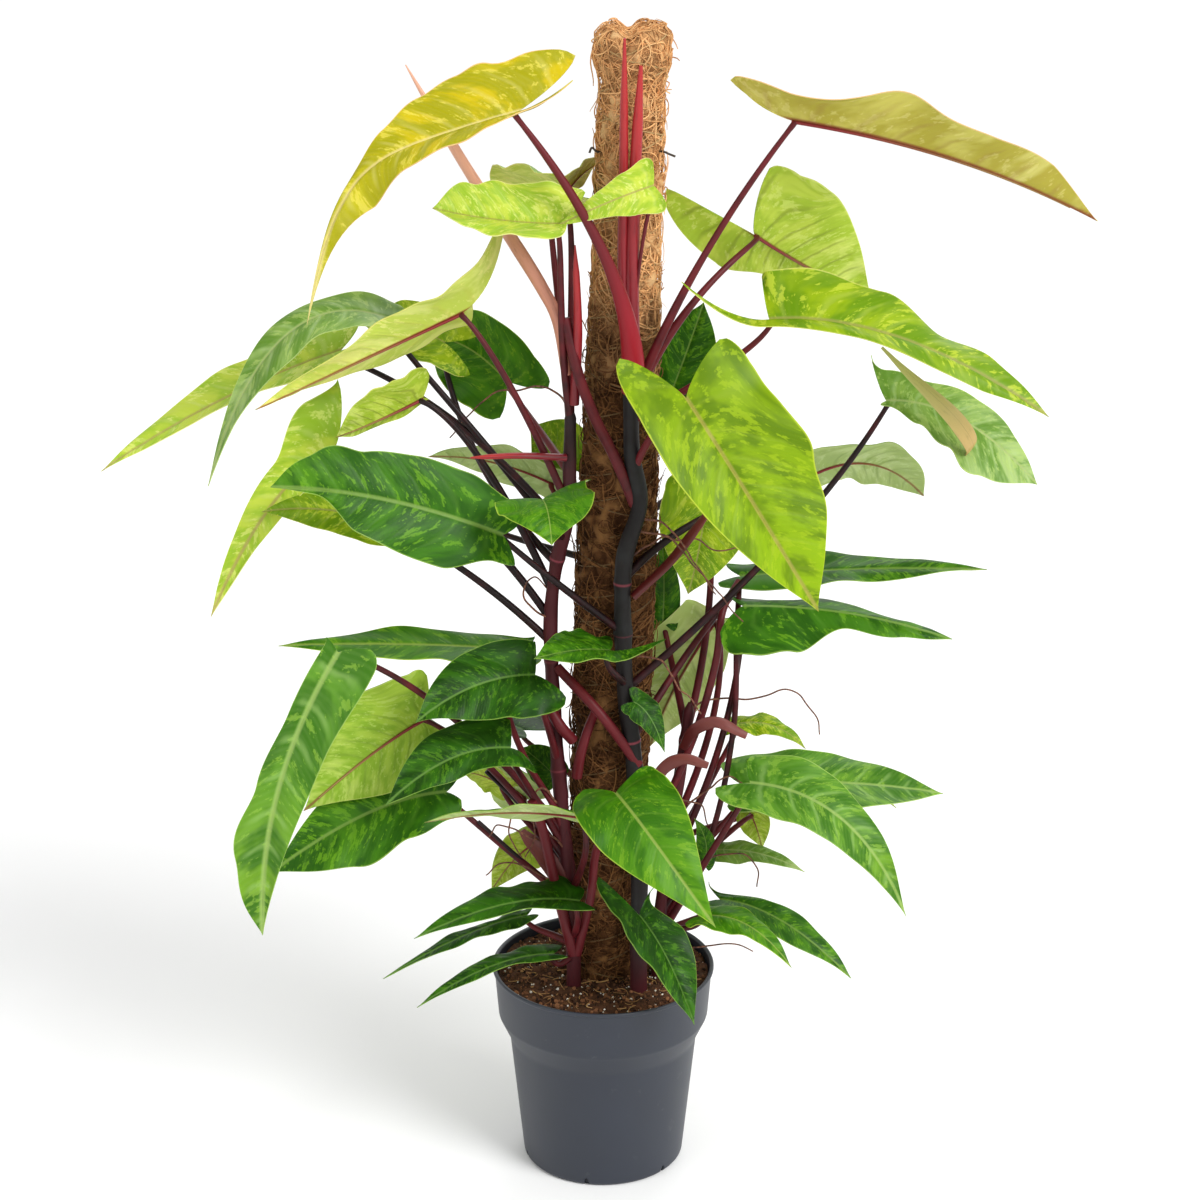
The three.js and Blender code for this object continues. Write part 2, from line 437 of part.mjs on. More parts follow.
function makePot() {
  const lip = RIM_RADIUS - LIP_PROUD;
  const outline = [
    [0, 0], [BASE_RADIUS - FOOT_BEVEL, 0], [BASE_RADIUS, FOOT_BEVEL], [BODY_TOP_RADIUS, BODY_TOP],
    [COLLAR_FOOT_RADIUS - COLLAR_BEVEL, COLLAR_FOOT - COLLAR_BEVEL],
    [COLLAR_FOOT_RADIUS, COLLAR_FOOT + COLLAR_BEVEL],
    [lip, POT_HEIGHT - LIP_HEIGHT], [RIM_RADIUS, POT_HEIGHT - LIP_HEIGHT + RIM_BEVEL],
    [RIM_RADIUS, POT_HEIGHT - RIM_BEVEL], [RIM_RADIUS - RIM_BEVEL, POT_HEIGHT],
    [lip - POT_WALL, POT_HEIGHT - RIM_BEVEL],
    [COLLAR_FOOT_RADIUS - POT_WALL, COLLAR_FOOT + COLLAR_BEVEL],
    [COLLAR_FOOT_RADIUS - COLLAR_BEVEL - POT_WALL, COLLAR_FOOT],
    [BODY_TOP_RADIUS - POT_WALL, BODY_TOP + POT_WALL / 2],
    [BASE_RADIUS - 1.4 * POT_WALL, POT_FLOOR], [0, POT_FLOOR],
  ];
  let pot = turned(outline, POT_SIDES);
  for (let i = 0; i < DRAIN.count; i += 1) {
    const angle = (2 * Math.PI * (i + 0.5)) / DRAIN.count;
    const hole = new THREE.CylinderGeometry(DRAIN.radius, DRAIN.radius, 3 * POT_FLOOR, DRAIN.sides);
    pot = pot.subtract(placed(hole, (matrix) => matrix
      .makeTranslation(DRAIN.circle * Math.cos(angle), DRAIN.circle * Math.sin(angle), 0)
      .multiply(new THREE.Matrix4().makeRotationX(Math.PI / 2))));
  }
  for (let i = 0; i < NOTCH.count; i += 1) {
    const angle = (2 * Math.PI * (i + NOTCH.turn)) / NOTCH.count;
    const notch = new THREE.BoxGeometry(NOTCH.depth, NOTCH.width, 2 * NOTCH.height);
    pot = pot.subtract(placed(notch, (matrix) => matrix
      .makeRotationZ(angle)
      .multiply(new THREE.Matrix4().makeTranslation(BASE_RADIUS, 0, 0))));
  }
  return pot;
}

// A three.js box or cylinder as a solid, moved by the matrix that place sets
function placed(geometry, place) {
  const position = geometry.getAttribute('position');
  const seen = new Map();
  const points = [];
  const remap = [];
  for (let i = 0; i < position.count; i += 1) {
    const p = new THREE.Vector3().fromBufferAttribute(position, i);
    const key = [p.x, p.y, p.z].map((c) => Math.round(1e4 * c)).join();
    if (!seen.has(key)) {
      seen.set(key, points.length);
      points.push(p.applyMatrix4(place(new THREE.Matrix4())));
    }
    remap.push(seen.get(key));
  }
  const index = Array.from(geometry.getIndex().array, (i) => remap[i]);
  const triangles = [];
  for (let i = 0; i < index.length; i += 3) {
    const [a, b, c] = index.slice(i, i + 3);
    if (a !== b && b !== c && c !== a) triangles.push([a, b, c]);
  }
  return solidOf(indexed(points, triangles));
}

function makeStake() {
  return poleTube(STAKE.foot, STAKE.top, STAKE.radius, STAKE.sides);
}

// The sleeve: plain where it is buried, rough above the soil, wider at its tucked-in head
function makeCoir() {
  const rings = [poleRing(POLE_FOOT, COIR.buriedRadius, COIR.sides, 0)];
  rings.push(poleRing(POT_HEIGHT, COIR.buriedRadius, COIR.sides, 0));
  const headFoot = POLE_TOP - COIR.headHeight;
  for (let z = POT_HEIGHT + 10; z < headFoot - COIR.step / 2; z += COIR.step) {
    rings.push(poleRing(z, COIR.radius, COIR.sides, COIR.bulge));
  }
  rings.push(poleRing(headFoot, COIR.radius, COIR.sides, COIR.bulge));
  rings.push(poleRing(headFoot + COIR.headRise, COIR.head, COIR.sides, COIR.bulge));
  rings.push(poleRing(POLE_TOP - COIR.headEdge, COIR.head, COIR.sides, COIR.bulge));
  rings.push(poleRing(POLE_TOP, COIR.headTop, COIR.sides, COIR.bulge));
  const bore = poleTube(POLE_FOOT - CLEAR, STAKE.top + CLEAR, STAKE.radius + CLEAR, STAKE.sides);
  return lofted(rings).subtract(bore);
}

function makeSoil() {
  const gap = 2 * CLEAR + POT_WALL;
  const outline = [
    [0, POT_FLOOR + CLEAR], [BASE_RADIUS - 1.4 * POT_WALL - CLEAR, POT_FLOOR + CLEAR],
    [BODY_TOP_RADIUS - gap, BODY_TOP + POT_WALL / 2 + CLEAR],
    [COLLAR_FOOT_RADIUS - COLLAR_BEVEL - gap, COLLAR_FOOT + CLEAR],
    [COLLAR_FOOT_RADIUS - gap, COLLAR_FOOT + COLLAR_BEVEL + CLEAR],
    [RIM_RADIUS - LIP_PROUD - gap - CLEAR, SOIL_TOP_EDGE],
    [SOIL_CROWN, SOIL_TOP_CENTRE], [0, SOIL_TOP_CENTRE],
  ];
  let soil = turned(outline, POT_SIDES);
  soil = soil.subtract(poleTube(POLE_FOOT - CLEAR, POT_HEIGHT + 20, COIR.buriedRadius + CLEAR, COIR.sides));
  soil = soil.subtract(poleTube(STAKE.foot - CLEAR, POLE_FOOT + 20, STAKE.radius + CLEAR, STAKE.sides));
  for (const stem of Object.values(STEMS)) {
    const foot = stem.points[stem.points.length - 1];
    const curve = new THREE.LineCurve3(vec(foot).setZ(POT_HEIGHT + 20), vec(foot).setZ(STEM_END - CLEAR));
    soil = soil.subtract(tubeAlong(curve, 1, STEM_SIDES, () => stem.radius[1] + 2 * CLEAR));
  }
  return soil;
}

// The midrib and the frame of directions along it
function midrib(leaf) {
  const [base, bend, tip] = [vec(leaf.base), vec(leaf.bend), vec(leaf.tip)];
  const hang = leaf.hang ?? 0;
  const face = vec(leaf.face).normalize();
  return (t) => {
    const u = 1 - t;
    const point = base.clone().multiplyScalar(u * u)
      .addScaledVector(bend, 2 * t * u)
      .addScaledVector(tip, t * t);
    point.z -= hang * t ** 4;
    const along = bend.clone().sub(base).multiplyScalar(u).addScaledVector(tip.clone().sub(bend), t);
    along.z -= 2 * hang * t ** 3;
    along.normalize();
    const up = face.clone().addScaledVector(along, -face.dot(along)).normalize();
    return { point, along, up, left: new THREE.Vector3().crossVectors(up, along) };
  };
}

// Half the width at t along the midrib, as a share of the widest place
function halfWidth(t) {
  const bulk = (1 - t ** BLADE.fall) ** BLADE.point;
  return BLADE.scale * bulk * (BLADE.shoulder + BLADE.spread * t);
}

// The surface of one half of a blade. side: 1 left, -1 right. t: 1 at the point, 0 where the stalk
// joins, -1 at the end of the lobe. share: 0 at the midrib or the inner edge of the lobe, 1 at the margin.
function bladePoint(leaf, side, t, share) {
  const half = leaf.width / 2;
  const frame = midrib(leaf)(Math.max(t, 0));
  const lobe = side > 0 ? 0 : 1;
  const [back, out] = leaf.lobes[lobe];
  const s = Math.max(-t, 0);
  const inner = out * (1 - (1 - s ** LOBE.slant) ** LOBE.turn);
  const margin = half * halfWidth(Math.max(t, 0));
  const outer = out + (margin - out) * Math.sqrt(1 - s * s);
  const x = inner + (outer - inner) * share;
  const fold = THREE.MathUtils.degToRad(leaf.fold ?? 8);
  const [height, count, start] = leaf.wave ?? [2, 2, 0.3];
  const reach = x / half;
  const wave = height * reach * reach * Math.sin(2 * Math.PI * (count * t + start + 0.17 * side));
  const droop = (leaf.droop ?? 4) * reach * reach;
  const lift = leaf.lift ? leaf.lift[lobe] : 2;
  const rise = x * Math.sin(fold) - droop + wave + lift * s * s;
  return frame.point
    .addScaledVector(frame.along, -back * s)
    .addScaledVector(frame.left, side * x * Math.cos(fold))
    .addScaledVector(frame.up, rise);
}

// How finely a blade is divided: rows along the midrib, rows of the lobes, and columns of each half
const LONG = { rows: 6, lobeRows: [0.5, 0.85, 1], shares: [0.5, 1] };
const SHORT = { rows: 5, lobeRows: [0.65, 1], shares: [0.5, 1] };
const TINY = { rows: 4, lobeRows: [1], shares: [1] };
const detailOf = (leaf) => (vec(leaf.base).distanceTo(vec(leaf.tip)) > 140 ? LONG : SHORT);

// A blade as a thin solid: the middle surface on a grid, moved half the thickness to each side
function makeBlade(leaf, detail) {
  const { rows, lobeRows, shares } = detail;
  const points = [];
  const faces = [];
  const add = (p) => points.push(p) - 1;
  const spine = [];
  for (let row = 0; row <= rows; row += 1) spine.push(add(bladePoint(leaf, 1, row / rows, 0)));
  const border = { 1: [], '-1': [] };
  for (const side of [1, -1]) {
    const quad = (a, b, c, d) => {
      if (side > 0) faces.push([a, b, c], [a, c, d]);
      else faces.push([a, c, b], [a, d, c]);
    };
    const tri = (a, b, c) => faces.push(side > 0 ? [a, b, c] : [a, c, b]);
    const last = shares.length;
    const strips = (from, to) => {
      for (let i = 0; i < last; i += 1) quad(from[i], to[i], to[i + 1], from[i + 1]);
    };
    const first = [spine[0], ...shares.map((share) => add(bladePoint(leaf, side, 0, share)))];
    let line = first;
    const outerEdge = [line[last]];
    for (let row = 1; row < rows; row += 1) {
      const next = [spine[row], ...shares.map((share) => add(bladePoint(leaf, side, row / rows, share)))];
      strips(line, next);
      outerEdge.push(next[last]);
      line = next;
    }
    for (let i = 0; i < last; i += 1) tri(line[i], spine[rows], line[i + 1]);
    line = first;
    const innerEdge = [];
    for (const s of lobeRows.slice(0, -1)) {
      const next = [0, ...shares].map((share) => add(bladePoint(leaf, side, -s, share)));
      strips(next, line);
      innerEdge.push(next[0]);
      outerEdge.unshift(next[last]);
      line = next;
    }
    const lobeTip = add(bladePoint(leaf, side, -1, 0));
    for (let i = 0; i < last; i += 1) tri(lobeTip, line[i], line[i + 1]);
    border[side] = [...innerEdge, lobeTip, ...outerEdge];
  }
  const rim = [spine[0], ...border[1], spine[rows], ...border[-1].reverse()];
  const normals = points.map(() => new THREE.Vector3());
  for (const [a, b, c] of faces) {
    const edge = points[b].clone().sub(points[a]);
    const normal = edge.cross(points[c].clone().sub(points[a]));
    for (const corner of [a, b, c]) normals[corner].add(normal);
  }
  const count = points.length;
  const up = points.map((p, i) => p.clone().addScaledVector(normals[i].normalize(), BLADE.thick / 2));
  const down = points.map((p, i) => p.clone().addScaledVector(normals[i], -BLADE.thick / 2));
  const triangles = [...faces, ...faces.map(([a, b, c]) => [a + count, c + count, b + count])];
  for (let i = 0; i < rim.length; i += 1) {
    const a = rim[i];
    const b = rim[(i + 1) % rim.length];
    triangles.push([a, b, b + count], [a, b + count, a + count]);
  }
  return solidOf(indexed([...up, ...down], triangles));
}

// Stems as tubes through their points, and the place on a stem at a height
const stemCurve = (stem) => new THREE.CatmullRomCurve3(stem.points.map(vec));

function makeStem(stem, extra) {
  const foot = vec(stem.points[stem.points.length - 1]);
  const radius = (t) => THREE.MathUtils.lerp(stem.radius[0], stem.radius[1], t) + extra;
  const upper = tubeAlong(stemCurve(stem), stem.points.length + 2, STEM_SIDES, radius);
  const buried = new THREE.LineCurve3(foot.clone().setZ(foot.z + STEM_OVERLAP), foot.clone().setZ(STEM_END));
  return upper.add(tubeAlong(buried, 1, STEM_SIDES, () => stem.radius[1] + extra));
}

function onStem(stem, height) {
  const curve = stemCurve(stem);
  let low = 0;
  let high = 1;
  for (let i = 0; i < 20; i += 1) {
    const middle = (low + high) / 2;
    if (curve.getPoint(middle).z > height) low = middle;
    else high = middle;
  }
  return curve.getPoint(low);
}

// A stalk from its stem to the first stretch of the blade's midrib, its end laid flat to it and
// that far under its middle
function makeStalk(leaf, rows, reach, extra) {
  const base = vec(leaf.base);
  const along = midrib(leaf)(1 / rows).point.sub(base).normalize();
  const face = vec(leaf.face);
  const up = face.addScaledVector(along, -face.dot(along)).normalize();
  const seat = base.addScaledVector(along, STALK.inset).addScaledVector(up, -reach);
  const lead = seat.clone().addScaledVector(up, -STALK.lead).addScaledVector(along, -STALK.lead / 2);
  const curve = new THREE.CubicBezierCurve3(onStem(STEMS[leaf.stem], leaf.at), vec(leaf.via), lead, seat);
  const foot = leaf.stalk ?? STALK.base;
  const radius = (t) => THREE.MathUtils.lerp(foot, STALK.end, Math.min(1, STALK.taper * t)) + extra;
  return tubeAlong(curve, STALK.steps, STALK.sides, radius, up);
}

// A stalk that ends just clear of its blade, further where the halves fall from the midrib
function looseStalk(leaf, extra) {
  const fall = Math.max(0, -Math.sin(THREE.MathUtils.degToRad(leaf.fold ?? 8)));
  const reach = BLADE.thick / 2 + BLADE_SEAT + fall * STALK.end;
  return makeStalk(leaf, detailOf(leaf).rows, reach, extra);
}

function makeRoot(root) {
  const curve = new THREE.CatmullRomCurve3(root.points.map(vec));
  const radius = (t) => THREE.MathUtils.lerp(ROOT.radius, ROOT.end, t);
  return tubeAlong(curve, 2 * root.points.length - 2, ROOT.sides, radius);
}

// A stem with all that grows from it in one piece: stalks, small leaves, hidden leaves and roots
function makePlant(name) {
  const grows = (part) => part.stem === name;
  const small = SMALL_LEAVES.filter(grows);
  const hidden = BACK_LEAVES.filter(grows);
  const solid = wasm.Manifold.union([
    makeStem(STEMS[name], 0),
    ...LEAVES.filter(grows).map((leaf) => looseStalk(leaf, 0)),
    ...small.map((leaf) => makeStalk(leaf, TINY.rows, 0, 0)),
    ...small.map((leaf) => makeBlade(leaf, TINY)),
    ...hidden.map((leaf) => makeStalk(leaf, SHORT.rows, 0, 0)),
    ...hidden.map((leaf) => makeBlade(leaf, SHORT)),
    ...ROOTS.filter(grows).map(makeRoot),
  ]);
  return largest(solid);
}

// One arm of a spear or sheath: an oval section along a curve, three of its sizes given
function makeArm(arm, across) {
  const curve = new THREE.CatmullRomCurve3(arm.points.map(vec));
  const steps = 2 * arm.points.length;
  const size = ([foot, middle, tip], t) => (t < 0.5
    ? THREE.MathUtils.lerp(foot, middle, 2 * t)
    : THREE.MathUtils.lerp(middle, tip, 2 * t - 1));
  const rings = [];
  for (let step = 0; step <= steps; step += 1) {
    const t = step / steps;
    const along = step === 0 && arm.start ? vec(arm.start) : curve.getTangent(t);
    const width = vec(across).addScaledVector(along, -vec(across).dot(along)).normalize();
    const depth = new THREE.Vector3().crossVectors(along, width);
    const ring = [];
    for (let i = 0; i < SHEATH_SIDES; i += 1) {
      const angle = (2 * Math.PI * i) / SHEATH_SIDES;
      ring.push(curve.getPoint(t)
        .addScaledVector(width, size(arm.wide, t) * Math.cos(angle))
        .addScaledVector(depth, size(arm.thick, t) * Math.sin(angle)));
    }
    rings.push(ring);
  }
  return lofted(rings);
}

// A spear or sheath, cut to stand clear of the stem and the stalks that it springs from
function makeSheath(sheath) {
  const arms = wasm.Manifold.union(sheath.arms.map((arm) => makeArm(arm, sheath.across)));
  const stalks = LEAVES.filter((leaf) => leaf.stem === sheath.stem).map((leaf) => looseStalk(leaf, CLEAR));
  return largest(arms.subtract(wasm.Manifold.union([makeStem(STEMS[sheath.stem], CLEAR), ...stalks])));
}

// The parts
const group = new THREE.Group();

function addMesh(name, solid, color, roughness) {
  const material = new THREE.MeshStandardMaterial({ color, roughness, metalness: 0 });
  const mesh = new THREE.Mesh(geometryOf(solid), material);
  mesh.name = name;
  group.add(mesh);
}

addMesh('pot', makePot(), 0x4a525b, 0.45);
addMesh('soil', makeSoil(), 0x3a2418, 0.95);
addMesh('pole_stake', makeStake(), 0x9a7a4c, 0.8);
addMesh('coir_wrap', makeCoir(), 0xa9743f, 0.95);
for (const name of Object.keys(STEMS)) addMesh(`stem_${name}`, makePlant(name), 0x4a2430, 0.5);
for (const leaf of LEAVES) addMesh(leaf.name, makeBlade(leaf, detailOf(leaf)), 0x4f9a2c, 0.4);
for (const sheath of SHEATHS) addMesh(sheath.name, makeSheath(sheath), sheath.color, 0.45);

export default group;
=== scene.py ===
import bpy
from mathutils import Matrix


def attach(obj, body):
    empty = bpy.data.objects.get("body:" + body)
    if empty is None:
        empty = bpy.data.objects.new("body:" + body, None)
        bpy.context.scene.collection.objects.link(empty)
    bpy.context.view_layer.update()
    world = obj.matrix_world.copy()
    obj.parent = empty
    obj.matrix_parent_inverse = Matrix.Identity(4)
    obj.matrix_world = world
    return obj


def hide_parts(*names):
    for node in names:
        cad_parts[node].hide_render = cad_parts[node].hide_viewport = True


bl_info = {
    "name": "Potted Painted Lady Philodendron",
    "version": (1, 0, 0),
    "blender": (4, 5, 0),
    "location": "View3D > Sidebar > Plant",
    "description": "Fine meshes and finishes for a potted plant that climbs a coir pole",
    "category": "Add Mesh",
}

import math

import bpy
import numpy as np
from bpy.props import FloatProperty, FloatVectorProperty, IntProperty, PointerProperty

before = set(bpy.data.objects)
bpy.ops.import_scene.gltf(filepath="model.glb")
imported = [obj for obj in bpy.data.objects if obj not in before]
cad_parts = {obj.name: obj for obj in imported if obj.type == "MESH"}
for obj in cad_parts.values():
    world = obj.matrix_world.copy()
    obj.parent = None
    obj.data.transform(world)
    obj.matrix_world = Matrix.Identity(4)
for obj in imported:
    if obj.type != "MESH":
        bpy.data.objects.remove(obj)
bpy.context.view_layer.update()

# Every size in this file is in millimetres, and a mesh is scaled to metres when it is made
MM = 0.001
TURN = 2 * math.pi
SHARP_ANGLE = math.radians(55)

# The stage, in metres
CAMERA_X = -0.0027
SENSOR = 36
FLOOR_REACH = 30
AIM = (0, 0, 0.5)
SUN = {"place": (1.7, -1.5, 2.4), "spread": math.radians(28)}
# Each softbox's place, side and power
SOFTBOXES = {
    "softbox_right": ((1.6, -2.0, 1.9), 1.1, 14),
    "softbox_left": ((-1.9, -1.6, 1.6), 1.3, 9),
    "softbox_back": ((0.6, 2.2, 2.0), 1.5, 14),
}

# The pot
POT_HEIGHT = 180
RIM_RADIUS = 95
RIM_ROUND = 0.9
LIP_HEIGHT = 4
LIP_PROUD = 1.8
COLLAR_FOOT = 134
COLLAR_FOOT_RADIUS = 90
COLLAR_ROUND = 1.5
BODY_TOP = 115
BODY_TOP_RADIUS = 80.5
BASE_RADIUS = 69
BASE_ROUND = 2.5
BASE_BAND = {"proud": 0.9, "height": 11}
POT_WALL = 1.8
POT_FLOOR = 3.6
CORNER = 3.5
POT_SIDES = 160
DRAIN = {"count": 6, "radius": 5, "circle": 45, "turn": 0.5, "below": -4, "above": 8}
NOTCH = {"count": 6, "width": 15, "height": 2.2, "turn": 0.3, "in": 4, "out": 6}
CUTTER_SIDES = 24

# The soil: it is highest in the middle and falls to the wall. Ripples are given as height, size and
# seed, and kinds of grain as material, smallest and largest size, and the share kept for the front
SOIL_TOP = 175
SOIL_CROWN = 1.5
SOIL_FALL = 4
SOIL_RIPPLES = ((1.1, 30, 21), (0.8, 11, 22), (0.5, 5, 23))
SOIL_RADIUS = RIM_RADIUS - LIP_PROUD - POT_WALL - 1.6
SOIL_FOOT = 140
SOIL_FOOT_RADIUS = COLLAR_FOOT_RADIUS - POT_WALL - 1.2
SOIL_RINGS = 56
SOIL_SIDES = 150
CRUMB = (1, 0.7, 2.6, 0.0)
PERLITE = (2, 0.6, 1.5, 0.6)
GRAIN_TRIES = 4
GRAIN_SEED = 7
# The front is where the sine of the angle is below the first and the share of the radius above the second
SOIL_FRONT = (-0.3, 0.45)
SOIL_SEED = 5
STRAWS = 150
STRAW = {"steps": 7, "sides": 5, "length": (4, 15), "radius": (0.2, 0.55), "inset": 9,
         "bow": 0.25, "tilt": 0.12, "proud": 1.2}

# The pole: it leans to the right, its radius is given at six heights, and its head is folded in
POLE_TOP = 986
POLE_FOOT = 62
POLE_LEAN = 0.029
POLE_RADIUS = 28
POLE_HEIGHTS = (180, 400, 560, 700, 820, 933)
POLE_RADII = (29, 31, 31.5, 28.5, 25.5, 25)
HEAD = {"radius": 29, "height": 45, "flare": 22, "close": 9, "draw": 7}
FOLD = {"left": 4, "width": 6, "height": 30, "pinch": 0.18, "sink": 6}
# The sleeve is rough above this height only, because the soil hides the rest
ROUGH_FROM = 173
COIR_RIPPLES = ((1.6, 30, 1), (1.3, 14, 2), (0.9, 7, 3))
SLEEVE_SIDES = 88
SLEEVE_RINGS = {"buried": 6, "seen": 300}
SLEEVE_INSET = 1.1
CROWN = {"strands": 130, "spread": 10, "half": (6, 15), "radius": (0.3, 0.7), "reach": 25,
         "dip": 6, "dip_reach": 22, "arc": 3, "seed": 31}
STRAND = {"steps": 10, "length": (16, 52), "bend": 2.6, "radius": (0.28, 0.7), "over": 6, "top": 1,
          "lift": (1.3, 0.9), "clear": 0.2, "proud": 4, "stray": (3, 9), "seed": 11}
STRAY_SHARE = 0.05
# The loose strands are a lighter copy of the coir and the sleeve a darker one: painted light on the fibres
# that stand proud, painted shade on the mat beneath them
STRAND_PAINTED_LIGHT = 1.25
SLEEVE_PAINTED_SHADE = 0.85
THREAD = {"radius": 0.6, "pitch": 52, "steps": 640, "sides": 5, "foot": 178, "short": 4, "clear": 0.7,
          "starts": ((1, 0.0), (-1, 1.9), (1, 3.6))}
TIE = {"radius": 0.9, "steps": 16, "sides": 6}
# The heights, in metres, between which the coir and its threads turn from brown to golden
COIR_BROWN_TO_GOLDEN = (0.68, 0.81)
THREAD_BROWN_TO_GOLDEN = (0.66, 0.81)

# Stems: the radius at the top and at the foot, and the centreline from the tip down to the soil
STEMS = {
    "front": ((6.5, 7.5), (
        (22, -41, 715), (23, -42, 650), (29, -42, 612), (17, -42, 565), (16, -41, 500), (19, -41, 440),
        (25, -41, 390), (30, -41, 305), (30, -41, 225), (30, -41, 172))),
    "left": ((5, 6.5), (
        (-26, -37, 690), (-27, -37, 640), (-28, -36, 600), (-38, -28, 555), (-43, -24, 505), (-40, -25, 415),
        (-35, -29, 345), (-28, -34, 255), (-25, -36, 205), (-25, -36, 172))),
    "right": ((4.5, 6), (
        (72, -8, 425), (62, -12, 345), (52, -14, 270), (47, -15, 210), (47, -15, 172))),
    "back": ((5, 6.5), (
        (42, 44, 745), (30, 46, 640), (22, 47, 520), (8, 46, 400), (2, 44, 290), (2, 44, 215), (2, 44, 172))),
}
STEM_END = 112
STEM_SIDES = 18
STEM_STEPS = 160
STEM_SAMPLES = 400

# The heights of each stem's pale joints, and the heights below which it is maroon and above which
# it is near black
JOINTS = {
    "front": ((543, 500, 405, 330), (150, 260)),
    "left": ((560, 470, 372, 285), (560, 740)),
    "right": ((392, 300), (430, 520)),
    "back": ((600, 430), (300, 420)),
}
JOINT = {"swell": 0.9, "reach": 4, "ring": 1.8}
STEM_TIP = {"share": 0.3, "slope": 0.09}
STEM_UNEVEN = {"height": 0.35, "length": 11}

# Blades: the outline of half a blade, the inner edge of a lobe, the run of the side veins, the
# groove over the midrib, and the small and the broad unevenness of the surface
BLADE = {"shoulder": 0.88, "spread": 0.5, "fall": 2.2, "point": 1.3, "scale": 1.06}
LOBE = {"slant": 1.2, "turn": 0.75}
VEINS = {"per_side": 8, "back": -0.5, "swing": 1.1, "settled": 0.35, "bow": 0.3}
GROOVE = {"depth": 0.7, "width": 1.8}
RUFFLE = {"height": 0.9, "waves": 4.3}
SWELL = {"height": 1.6, "waves": 1.6, "lean": 0.7, "small": 45}
RIB = {"end": 0.9, "steps": 24, "sides": 8, "least": 0.25, "most": 1.2, "small": 56, "sunk": 0.55}

# Stalks: the radius at the stem and below the blade, where a stalk meets the blade, and the knee,
# the slight swelling just before it
STALK = {"base": 3.4, "end": 1.6, "lead": 16, "inset": 3, "below": 1.6, "steps": 34, "bare_steps": 40,
         "sides": 12}
KNEE = {"swell": 0.4, "at": 0.95, "reach": 0.05}
SLEEVE = {"reach": 0.42, "fall": 1.5, "foot": 0.4, "rise": 8}
# A stalk's redness, by the height above which it leaves the stem, and that of a wide sleeve
REDNESS = ((600, 0.75), (440, 0.2), (0, 0.6))
WIDE_SLEEVE = 4
RED_SLEEVE = 1.4
# Rows and columns of a blade's grid; blades longer than LONG_BLADE have more rows
LONG_BLADE = 140
ROWS = {"long": 64, "short": 46, "back": 40, "small": 22}
COLUMNS = 12
ROLL = {"steps": 40, "sides": 12, "least": 1, "swell": 6.5, "flat": 0.2, "across": (0.6, 0.3, 0.7),
        "start": 0.06, "sweep": 2.9, "lean": 1.6}
# A sheath narrows slowly to a share of its width and of its thickness, and fast from there to its tip
SHEATH = {"steps": 40, "sides": 14, "narrow_at": 0.84, "wide": 0.72, "thick": 0.75}
SHEATH_SIDE = (0.31, 0.9, 0.29)

# Half a blade whose width isn't changed, and one whose margin is neither raised nor sunk
EVEN = (1, 1)
FLAT = (0, 0)


class Leaf:
    """One leaf, by its name, its stem and the height at which its stalk leaves the stem. via is the
    point that the stalk heads for; base, bend and tip give the midrib; face is the way that the upper
    side looks. lobes holds how far back and how far out the left and the right lobe reach, upper and
    under the looks of the two sides. fold, in degrees, is how steeply each half rises from the midrib.
    hang sinks the point, the more suddenly the larger hook is; lift raises the left and the right
    lobe, droop sinks the margins, and wave is the height, count and start of the waves along them.
    wide and sag hold, for the left and the right half, the share of the width and the height of the
    margin at even steps from the stalk to the point. stalk is the stalk's radius at the stem, and
    sleeve how much the sleeve round its foot adds to that."""

    def __init__(self, name, stem, at, via, base, bend, tip, face, width, lobes, upper,
                 under="grey_under", fold=8, hang=0, hook=4, lift=(2, 2), droop=4,
                 wave=(2, 2, 0.3), wide=(EVEN, EVEN), sag=(FLAT, FLAT), stalk=STALK["base"], sleeve=0):
        self.name = name
        self.stem = stem
        self.at = at
        self.via, self.base, self.bend, self.tip = np.array([via, base, bend, tip], float)
        self.face = np.array(face, float) / np.linalg.norm(face)
        self.width = width
        self.lobes = lobes
        self.upper = upper
        self.under = under
        self.fold = math.radians(fold)
        self.hang = hang
        self.hook = hook
        self.lift = lift
        self.droop = droop
        self.wave = wave
        self.wide = wide
        self.sag = sag
        self.stalk = stalk
        self.sleeve = sleeve
        self.length = float(np.linalg.norm(self.tip - self.base))
        self.seed = (sum(map(ord, name)) * 37 + at) % 97 / 97


